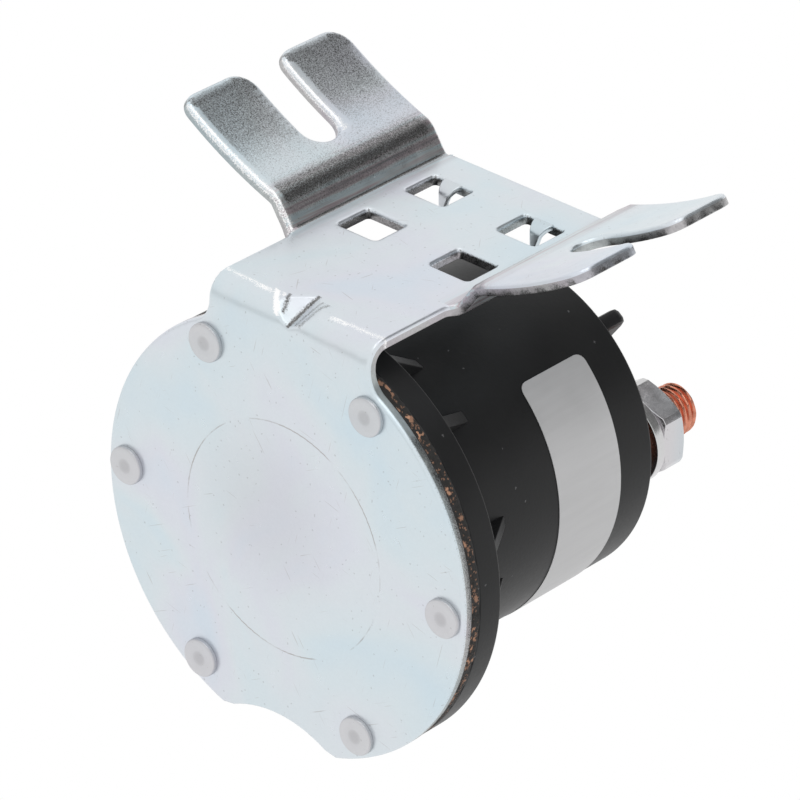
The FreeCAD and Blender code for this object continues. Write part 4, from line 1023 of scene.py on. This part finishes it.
def shade_group(name, inputs, outputs, draw):
    """The node group of that name, made once from its sockets and the function that draws it."""
    if name in bpy.data.node_groups:
        return bpy.data.node_groups[name]
    tree = bpy.data.node_groups.new(name, "ShaderNodeTree")
    for label, kind, default in inputs:
        tree.interface.new_socket(label, in_out="INPUT",
                                  socket_type="NodeSocket" + kind).default_value = default
    for label, kind in outputs:
        tree.interface.new_socket(label, in_out="OUTPUT", socket_type="NodeSocket" + kind)
    given, out = tree.nodes.new("NodeGroupInput").outputs, tree.nodes.new("NodeGroupOutput").inputs
    for label, value in zip((label for label, kind in outputs), draw(tree, given)):
        tree.links.new(value, out[label])
    return tree


def use(tree, name, **values):
    """Place a node group in a material with its own values."""
    node = tree.nodes.new("ShaderNodeGroup")
    node.node_tree = shade_group(name, *GROUPS[name])
    fill_in(tree, node, values)
    return node.outputs


def grain(tree, scale, **values):
    """Soft uneven value of one size."""
    return use(tree, "Grain", Scale=scale, **values)["Value"]


def draw_grain(tree, given):
    """Soft uneven value between 0 and 1."""
    spot = add(tree, "TexCoord").outputs["Object"]
    spot = vector_maths(tree, "MULTIPLY", {0: spot, 1: given["Stretch"]})
    cloud = add(tree, "TexNoise",
                {"Vector": spot, "Scale": given["Scale"], "Detail": 5.0, "Roughness": 0.62})
    return [ranged(tree, cloud.outputs["Fac"], 0.0, 1.0, 0.3, 0.7)]


def draw_flecks(tree, given):
    """Scattered irregular flecks: a mask, and a tone that differs from fleck to fleck."""
    spot = add(tree, "TexCoord").outputs["Object"]
    spot = vector_maths(tree, "SCALE", {0: spot, "Scale": given["Scale"]})
    bent = add(tree, "TexNoise", {"Vector": spot, "Scale": 1.3, "Detail": 3.0}).outputs["Color"]
    bent = vector_maths(tree, "SCALE", {0: bent, "Scale": given["Ragged"]})
    cell = add(tree, "TexVoronoi",
               {"Vector": vector_maths(tree, "ADD", {0: spot, 1: bent}), "Scale": 1.0})
    pick, tone = add(tree, "SeparateColor", {"Color": cell.outputs["Color"]}).outputs[:2]
    chosen = maths(tree, "LESS_THAN", pick, given["Share"])
    near = ranged(tree, cell.outputs["Distance"], 0.0, 1.0, 0.55, 0.35)
    return [maths(tree, "MULTIPLY", chosen, near), tone]


def draw_scratches(tree, given):
    """Short hair scratches in several directions of the blank's own plane, as a mask."""
    level = ranged(tree, given["Amount"], 0.8, 0.66)
    total = 0.0
    for turn, side in ((0.5, 0.0), (1.35, 0.7), (2.2, 1.9), (2.9, 3.1)):
        laid = add(tree, "Mapping", {"Vector": given["Place"], "Location": (side, side, side),
                                     "Rotation": (0, 0, turn), "Scale": (1.0, 0.04, 0.04)},
                   vector_type="TEXTURE").outputs[0]
        line = add(tree, "TexNoise", {"Vector": laid, "Scale": given["Scale"], "Detail": 1.0,
                                      "Distortion": 0.25}).outputs["Fac"]
        hair = maths(tree, "MULTIPLY", maths(tree, "SUBTRACT", line, level), 30.0, clamp=True)
        total = maths(tree, "MAXIMUM", total, hair)
    return [total]


def draw_streaks(tree, given):
    """Colours that the drawing die leaves in lines along the bracket."""
    laid = vector_maths(tree, "MULTIPLY", {0: given["Place"], 1: (1.0, 0.035, 1.0)})
    lines = add(tree, "TexNoise",
                {"Vector": laid, "Scale": 900.0, "Detail": 4.0, "Roughness": 0.6}).outputs["Fac"]
    return [colour_ramp(tree, lines, ((0.34, (0.16, 0.15, 0.155)), (0.46, (0.46, 0.36, 0.385)),
                                      (0.53, (0.55, 0.57, 0.57)), (0.6, (0.52, 0.64, 0.68)),
                                      (0.68, (0.36, 0.33, 0.33))))]


def draw_film(tree, given):
    """Colour drift of a thin chromate film: faint pink, yellow and cyan over a base colour."""
    spot = add(tree, "TexCoord").outputs["Object"]
    cloud = add(tree, "TexNoise",
                {"Vector": spot, "Scale": given["Scale"], "Detail": 3.0, "Distortion": 0.6})
    hues = colour_ramp(tree, cloud.outputs["Fac"],
                       ((0.3, (0.80, 0.96, 1.0)), (0.42, (0.93, 1.0, 0.98)),
                        (0.5, (1.0, 0.99, 0.97)), (0.58, (1.0, 0.93, 0.97)),
                        (0.7, (0.88, 0.93, 1.0))))
    return [tint(tree, given["Strength"], given["Base"], hues, blend="MULTIPLY")]


def draw_painted_light(tree, given):
    """Painted shade as dark grains for an amount above zero, and a painted highlight below zero."""
    amount, grains = given["Amount"], grain(tree, 5200.0)
    dark = maths(tree, "ADD", total_of(tree, (amount, 1.9), (grains, -1.1)), 0.4, clamp=True)
    mask = maths(tree, "MULTIPLY", dark, maths(tree, "GREATER_THAN", amount, 0.02))
    over = maths(tree, "SUBTRACT", scaled(tree, amount, -1.0), grains)
    highlighted = tint(tree, maths(tree, "MULTIPLY", over, 2.5, clamp=True), given["Color"], WHITE)
    return [tint(tree, mask, highlighted, ranged(tree, grains, 0.06, 0.3))]


WHITE = (1.0, 1.0, 1.0, 1.0)
# Each effect's inputs with their defaults, its outputs, and what draws its inside
GROUPS = {
    "Grain": ([("Scale", "Float", 600.0), ("Stretch", "Vector", (1, 1, 1))], [("Value", "Float")],
              draw_grain),
    "Flecks": ([("Scale", "Float", 1000.0), ("Share", "Float", 0.2), ("Ragged", "Float", 0.6)],
               [("Mask", "Float"), ("Tone", "Float")], draw_flecks),
    "Hair scratches": ([("Place", "Vector", (0, 0, 0)), ("Scale", "Float", 60.0),
                        ("Amount", "Float", 0.5)],
                       [("Mask", "Float")], draw_scratches),
    "Drawn streaks": ([("Place", "Vector", (0, 0, 0))], [("Color", "Color")], draw_streaks),
    "Chromate film": ([("Base", "Color", WHITE), ("Scale", "Float", 40.0),
                       ("Strength", "Float", 0.3)],
                      [("Color", "Color")], draw_film),
    "Painted shade and highlight": ([("Color", "Color", WHITE), ("Amount", "Float", 0.0)], [("Color", "Color")],
                       draw_painted_light),
}


def feed(tree, shader, shade, roughness, height, distance):
    """Feed a colour, a roughness and a height into the shader; the bump's depth is in metres."""
    bump = add(tree, "Bump", {"Height": height, "Distance": distance})
    fill_in(tree, shader, {"Base Color": shade, "Roughness": roughness,
                           "Normal": bump.outputs["Normal"]})


def zinc_look(tree, shader, base, film, pits, marks, low, high, grit=0.0, place=None):
    """Zinc under a clear chromate: drift of colour, pits, hair scratches and an uneven satin."""
    shader.inputs["Metallic"].default_value = 1.0
    place = place or add(tree, "TexCoord").outputs["Object"]
    drift = use(tree, "Chromate film", Base=opaque(base), Scale=38.0, Strength=film)["Color"]
    hairs = use(tree, "Hair scratches", Place=place, Scale=150.0, Amount=marks)["Mask"]
    spots = use(tree, "Flecks", Scale=3300.0, Share=pits, Ragged=1.1)["Mask"]
    fine, coarse = grain(tree, 2400.0), grain(tree, 420.0)
    wear_and_painted_light = tint(tree, scaled(tree, hairs, 0.34), drift, (0.3, 0.25, 0.22, 1))
    pitted = tint(tree, scaled(tree, spots, 0.3), wear_and_painted_light, (0.24, 0.23, 0.23, 1))
    shaded = tint(tree, scaled(tree, fine, 0.07 + grit), pitted, (0.62, 0.63, 0.64, 1),
                  blend="MULTIPLY")
    feed(tree, shader, shaded, ranged(tree, coarse, low, high),
         total_of(tree, (fine, 0.5), (coarse, 0.5), (hairs, -0.4), (spots, -0.8)),
         0.000009 + 0.00002 * grit)
    return shaded


def painted_light_amount(tree):
    """How much painted shade a corner has, as the meshes say; below zero it is a painted highlight.
    """
    return add(tree, "Attribute", attribute_name="rubbed").outputs["Fac"]


def paint_light(tree, shader, shaded):
    """Lay painted shade and painted highlights over the plating, as the meshes say."""
    wear_and_painted_light = use(tree, "Painted shade and highlight", Color=shaded, Amount=painted_light_amount(tree))
    fill_in(tree, shader, {"Base Color": wear_and_painted_light["Color"]})


def zinc_sheet(tree, shader, looks):
    """The bracket's faces, with its drawn lines, painted shade along its coined ring, a middle that
    is darker, and the painted shade and highlights that the mesh carries.
    """
    blank = add(tree, "Attribute", attribute_name="blank").outputs["Vector"]
    shaded = zinc_look(tree, shader, looks.zinc, film=0.5, pits=0.012, marks=0.32, low=0.27,
                       high=0.37, place=blank)
    # Painted shade along the coined ring, broken where the grain says
    on_ring = maths(tree, "COMPARE", vector_maths(tree, "LENGTH", {0: blank}, "Value"),
                    COIN_RADIUS * MM, 0.00009)
    kept = ranged(tree, grain(tree, 60.0), 0.0, 0.6, 0.42, 0.6)
    ring_shaded = tint(tree, maths(tree, "MULTIPLY", on_ring, kept), shaded, (0.3, 0.26, 0.24, 1))
    # Darker towards the middle of the cover
    away = vector_maths(tree, "DISTANCE", {0: blank, 1: (-0.003, 0.003, 0.0)}, "Value")
    darker_middle = tint(tree, ranged(tree, away, 0.6, 0.0, 0.002, 0.017, soft=True), ring_shaded,
                   (0.86, 0.85, 0.845, 1), blend="MULTIPLY")
    across, up = add(tree, "SeparateXYZ", {0: blank}).outputs[:2]
    side = maths(tree, "ABSOLUTE", across)
    drawn = ranged(tree, side, 0.0, 0.8, 0.0118, 0.0158, soft=True)
    ended = ranged(tree, side, 1.0, 0.0, 0.0195, 0.0235, soft=True)
    above = maths(tree, "GREATER_THAN", up, BEND_END * MM + 0.0125)
    lined = maths(tree, "MULTIPLY", maths(tree, "MULTIPLY", drawn, ended), above)
    paint_light(tree, shader, tint(tree, lined, darker_middle, use(tree, "Drawn streaks", Place=blank)["Color"]))


def sheared_zinc(tree, shader, looks):
    """The bracket's cut sides, torn by the blanking die."""
    # The cut sides carry painted shade and painted highlights from the mesh too
    paint_light(tree, shader, zinc_look(tree, shader, (0.52, 0.52, 0.53), film=0.9, pits=0.03, marks=0.0,
                                low=0.25, high=0.5, grit=0.5))


def zinc_rivet(tree, shader, looks):
    """Rivet heads, with painted shade in their dimple and at their rim."""
    shaded = zinc_look(tree, shader, looks.rivet, film=0.15, pits=0.006, marks=0.1, low=0.36,
                       high=0.46)
    rim_and_dimple_shade = scaled(tree, painted_light_amount(tree), 0.5)
    fill_in(tree, shader, {"Base Color": tint(tree, rim_and_dimple_shade, shaded, (0.66, 0.65, 0.65, 1),
                                              blend="MULTIPLY")})


def zinc_nut(tree, shader, looks):
    zinc_look(tree, shader, (0.62, 0.64, 0.635), film=0.8, pits=0.01, marks=0.1, low=0.16,
              high=0.28)


def cork_and_rubber(tree, shader, looks):
    """Cork grains in dark rubber."""
    large = use(tree, "Flecks", Scale=950.0, Share=0.32, Ragged=1.7)
    small = use(tree, "Flecks", Scale=2900.0, Share=0.25, Ragged=1.6)
    fine = grain(tree, 3000.0)
    body = tint(tree, small["Mask"], opaque(looks.gasket), opaque(looks.cork, 0.4))
    cork = tint(tree, large["Tone"], opaque(looks.cork, 0.42), opaque(looks.cork))
    feed(tree, shader, tint(tree, large["Mask"], body, cork), ranged(tree, fine, 0.62, 0.9),
         total_of(tree, (large["Mask"], 0.8), (fine, 0.7)), 0.00009)


def plastic_look(tree, shader, base, low=0.4, high=0.5, specks=0.004, skin=0.000004, shine=0.5):
    """A moulded plastic skin with faint flow marks and pale dust specks."""
    shader.inputs["Specular IOR Level"].default_value = shine
    flow, fine = grain(tree, 70.0), grain(tree, 1800.0)
    dust = use(tree, "Flecks", Scale=2600.0, Share=specks, Ragged=1.2)["Mask"]
    shaded = tint(tree, flow, opaque(base, 0.85), opaque(base, 1.15))
    feed(tree, shader, tint(tree, scaled(tree, dust, 0.25), shaded, (0.3, 0.3, 0.31, 1)),
         ranged(tree, total_of(tree, (flow, 0.5), (fine, 0.5)), low, high),
         total_of(tree, (fine, 0.7), (flow, 1.6), (dust, 1.0)), skin)


def black_plastic(tree, shader, looks):
    plastic_look(tree, shader, looks.plastic, low=0.36, high=0.46, specks=0.0015, skin=0.00001,
                 shine=0.2)


def label_foil(tree, shader, looks):
    """Bare polyester foil: pale satin with a fine brushed grain."""
    shader.inputs["Metallic"].default_value = 0.35
    brushed, soft = grain(tree, 900.0, Stretch=(1.0, 0.08, 1.0)), grain(tree, 90.0)
    tone = tint(tree, total_of(tree, (brushed, 0.5), (soft, 0.5)), opaque(looks.label, 0.93),
                opaque(looks.label, 1.05))
    feed(tree, shader, tone, ranged(tree, soft, 0.38, 0.5),
         total_of(tree, (brushed, 0.4), (soft, 0.6)), 0.000006)


def metal_look(tree, shader, base, dark, low, high):
    """Bare metal with a drifting tarnish and an uneven shine."""
    shader.inputs["Metallic"].default_value = 1.0
    drift, fine = grain(tree, 500.0), grain(tree, 2600.0)
    feed(tree, shader, tint(tree, drift, opaque(base), opaque(dark)),
         ranged(tree, drift, low, high), total_of(tree, (fine, 1.0), (drift, 0.5)), 0.000008)


def copper(tree, shader, looks):
    metal_look(tree, shader, looks.copper, opaque(looks.copper, 0.5), 0.12, 0.3)


FINISHES = {"zinc sheet": zinc_sheet, "sheared zinc": sheared_zinc, "zinc rivet": zinc_rivet,
            "zinc nut": zinc_nut,
            "cork and rubber": cork_and_rubber, "black plastic": black_plastic,
            "label foil": label_foil,
            "stud copper": copper}
# Colour, tarnished colour, least and most roughness
METALS = {"turned steel": ((0.5, 0.5, 0.51), (0.36, 0.355, 0.35), 0.24, 0.4),
          "turned brass": ((0.74, 0.56, 0.25), (0.55, 0.4, 0.17), 0.2, 0.36),
          "enamelled wire": ((0.5, 0.17, 0.07), (0.33, 0.1, 0.04), 0.25, 0.4)}
# Colour, least and most roughness
PLASTICS = {"natural nylon": ((0.6, 0.57, 0.5), 0.4, 0.5),
            "insulating board": ((0.25, 0.13, 0.07), 0.5, 0.65),
            "soft rubber": ((0.014, 0.014, 0.014), 0.6, 0.75)}


def finish(name):
    """The material of that name, made once."""
    if name in bpy.data.materials:
        return bpy.data.materials[name]
    material = bpy.data.materials.new(name)
    material.use_nodes = True
    tree = material.node_tree
    shader = tree.nodes["Principled BSDF"]
    if name in METALS:
        metal_look(tree, shader, *METALS[name])
    elif name in PLASTICS:
        plastic_look(tree, shader, *PLASTICS[name])
    else:
        FINISHES[name](tree, shader, bpy.context.scene.contactor)
    return material


INNER_FINISHES = {"zinc_steel": "zinc nut", "bare_steel": "turned steel",
                  "bobbin_plastic": "natural nylon",
                  "copper": "stud copper", "enamelled_copper": "enamelled wire",
                  "insulation": "insulating board",
                  "black_rubber": "soft rubber", "stem_brass": "turned brass"}


class CONTACTOR_OT_inner_finishes(bpy.types.Operator):
    """Give the pieces inside the case their finishes"""
    bl_idname = "contactor.inner_finishes"
    bl_label = "Inner finishes"

    def execute(self, context):
        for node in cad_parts.values():
            if not node.hide_render:
                for index, slot in enumerate(node.data.materials):
                    node.data.materials[index] = finish(INNER_FINISHES[slot.name.split(".")[0]])
        return {"FINISHED"}


# --------------------------------------------------------------------- stage

# Cards that only shiny surfaces see: name, place, width, height, level. All face the part.
CARDS = (("back_flag", (0.43, 0.68, 0.5), 0.97, 0.77, 0.2),
         ("top_box", (0.15, -0.06, 0.92), 0.62, 0.62, 1.9),
         ("top_shade", (0.1, -0.05, 0.8), 0.2, 0.2, 0.3),
         ("horizon", (-0.58, -0.8, -0.02), 1.5, 0.24, 0.72))
LAMPS = (("key", (-0.35, -0.6, 0.75), 3.2), ("side", (0.9, 0.0, 0.35), 2.0))
LAMP_SIZE = 0.5
PART_MIDDLE = row_point(0, 25, 0)
# Light that reaches the part from the white surroundings, which look 1.0 themselves
WORLD_LIGHT = 0.7
# The camera that the photo was taken with, solved from the part's own places in it
LENS, SENSOR = 265.063, 36.0
CAMERA_PLACE = (0.449627, -0.538569, 0.372125)
CAMERA_RIGHT = (0.75087721, 0.65980099, 0.02908739)
CAMERA_DOWN = (0.34559712, -0.35500794, -0.86863801)
CAMERA_AHEAD = (-0.56280196, 0.662293, -0.49459269)


def card(name, place, width, height, level):
    """A flat card of the studio that only shiny surfaces see."""
    x, y = width / 2, height / 2
    mesh = bpy.data.meshes.new(name)
    mesh.from_pydata([(-x, -y, 0), (x, -y, 0), (x, y, 0), (-x, y, 0)], [], [(0, 1, 2, 3)])
    surface = bpy.data.materials.new(name)
    surface.use_nodes = True
    fill_in(surface.node_tree, surface.node_tree.nodes["Principled BSDF"], {
        "Base Color": (0, 0, 0, 1), "Specular IOR Level": 0.0, "Roughness": 1.0,
        "Emission Color": WHITE, "Emission Strength": level})
    mesh.materials.append(surface)
    made = bpy.data.objects.new(name, mesh)
    made.location = place
    made.rotation_euler = (-Vector(place)).to_track_quat("Z", "Y").to_euler()
    bpy.context.scene.collection.objects.link(made)
    made.visible_camera = made.visible_diffuse = made.visible_shadow = False


def lamp(name, place, power):
    """A square lamp turned to the part, which metal doesn't mirror."""
    data = bpy.data.lights.new(name, "AREA")
    data.size, data.energy = LAMP_SIZE, power
    made = bpy.data.objects.new(name, data)
    made.location = place
    made.rotation_euler = (PART_MIDDLE - Vector(place)).to_track_quat("-Z", "Y").to_euler()
    made.visible_glossy = False
    bpy.context.scene.collection.objects.link(made)


class CONTACTOR_OT_stage(bpy.types.Operator):
    """Set the white studio, its lamps and the camera"""
    bl_idname = "contactor.stage"
    bl_label = "Stage and camera"

    def execute(self, context):
        scene = context.scene
        scene.view_settings.view_transform = "Standard"
        scene.world = bpy.data.worlds.new("white studio")
        scene.world.use_nodes = True
        tree = scene.world.node_tree
        ray = add(tree, "LightPath").outputs
        seen = maths(tree, "MAXIMUM",
                     maths(tree, "MAXIMUM", ray["Is Camera Ray"], ray["Is Glossy Ray"]),
                     ray["Is Transmission Ray"])
        fill_in(tree, tree.nodes["Background"],
                {"Color": WHITE, "Strength": ranged(tree, seen, WORLD_LIGHT, 1.0)})
        for values in CARDS:
            card(*values)
        for values in LAMPS:
            lamp(*values)

        data = bpy.data.cameras.new("camera")
        data.lens, data.sensor_width = LENS, SENSOR
        data.clip_start, data.clip_end = 0.05, 20.0
        camera = bpy.data.objects.new("camera", data)
        turn = Matrix((CAMERA_RIGHT, -Vector(CAMERA_DOWN), -Vector(CAMERA_AHEAD))).transposed()
        camera.matrix_world = Matrix.Translation(CAMERA_PLACE) @ turn.to_4x4()
        scene.collection.objects.link(camera)
        scene.camera = camera
        return {"FINISHED"}


class CONTACTOR_PT_panel(bpy.types.Panel):
    """Steps and sizes of the contactor"""
    bl_idname = "CONTACTOR_PT_panel"
    bl_label = "DC contactor"
    bl_space_type = "VIEW_3D"
    bl_region_type = "UI"
    bl_category = "Contactor"

    def draw(self, context):
        for operator in OPERATORS:
            self.layout.operator(operator.bl_idname)
        for name in ContactorLooks.__annotations__:
            self.layout.prop(context.scene.contactor, name)


OPERATORS = (CONTACTOR_OT_bracket, CONTACTOR_OT_gasket, CONTACTOR_OT_rivets, CONTACTOR_OT_case,
             CONTACTOR_OT_label,
             CONTACTOR_OT_power_studs, CONTACTOR_OT_coil_studs, CONTACTOR_OT_nuts,
             CONTACTOR_OT_lock_washers,
             CONTACTOR_OT_springs, CONTACTOR_OT_inner_finishes, CONTACTOR_OT_stage)
CLASSES = (ContactorLooks,) + OPERATORS + (CONTACTOR_PT_panel,)


def register():
    for item in CLASSES:
        bpy.utils.register_class(item)
    bpy.types.Scene.contactor = bpy.props.PointerProperty(type=ContactorLooks)


def unregister():
    del bpy.types.Scene.contactor
    for item in reversed(CLASSES):
        bpy.utils.unregister_class(item)


def main():
    register()
    for operator in OPERATORS:
        step = getattr(bpy.ops.contactor, operator.bl_idname.split(".")[1])
        if step() != {"FINISHED"}:
            raise RuntimeError("%s did not finish" % operator.bl_label)


if __name__ == "__main__":
    main()
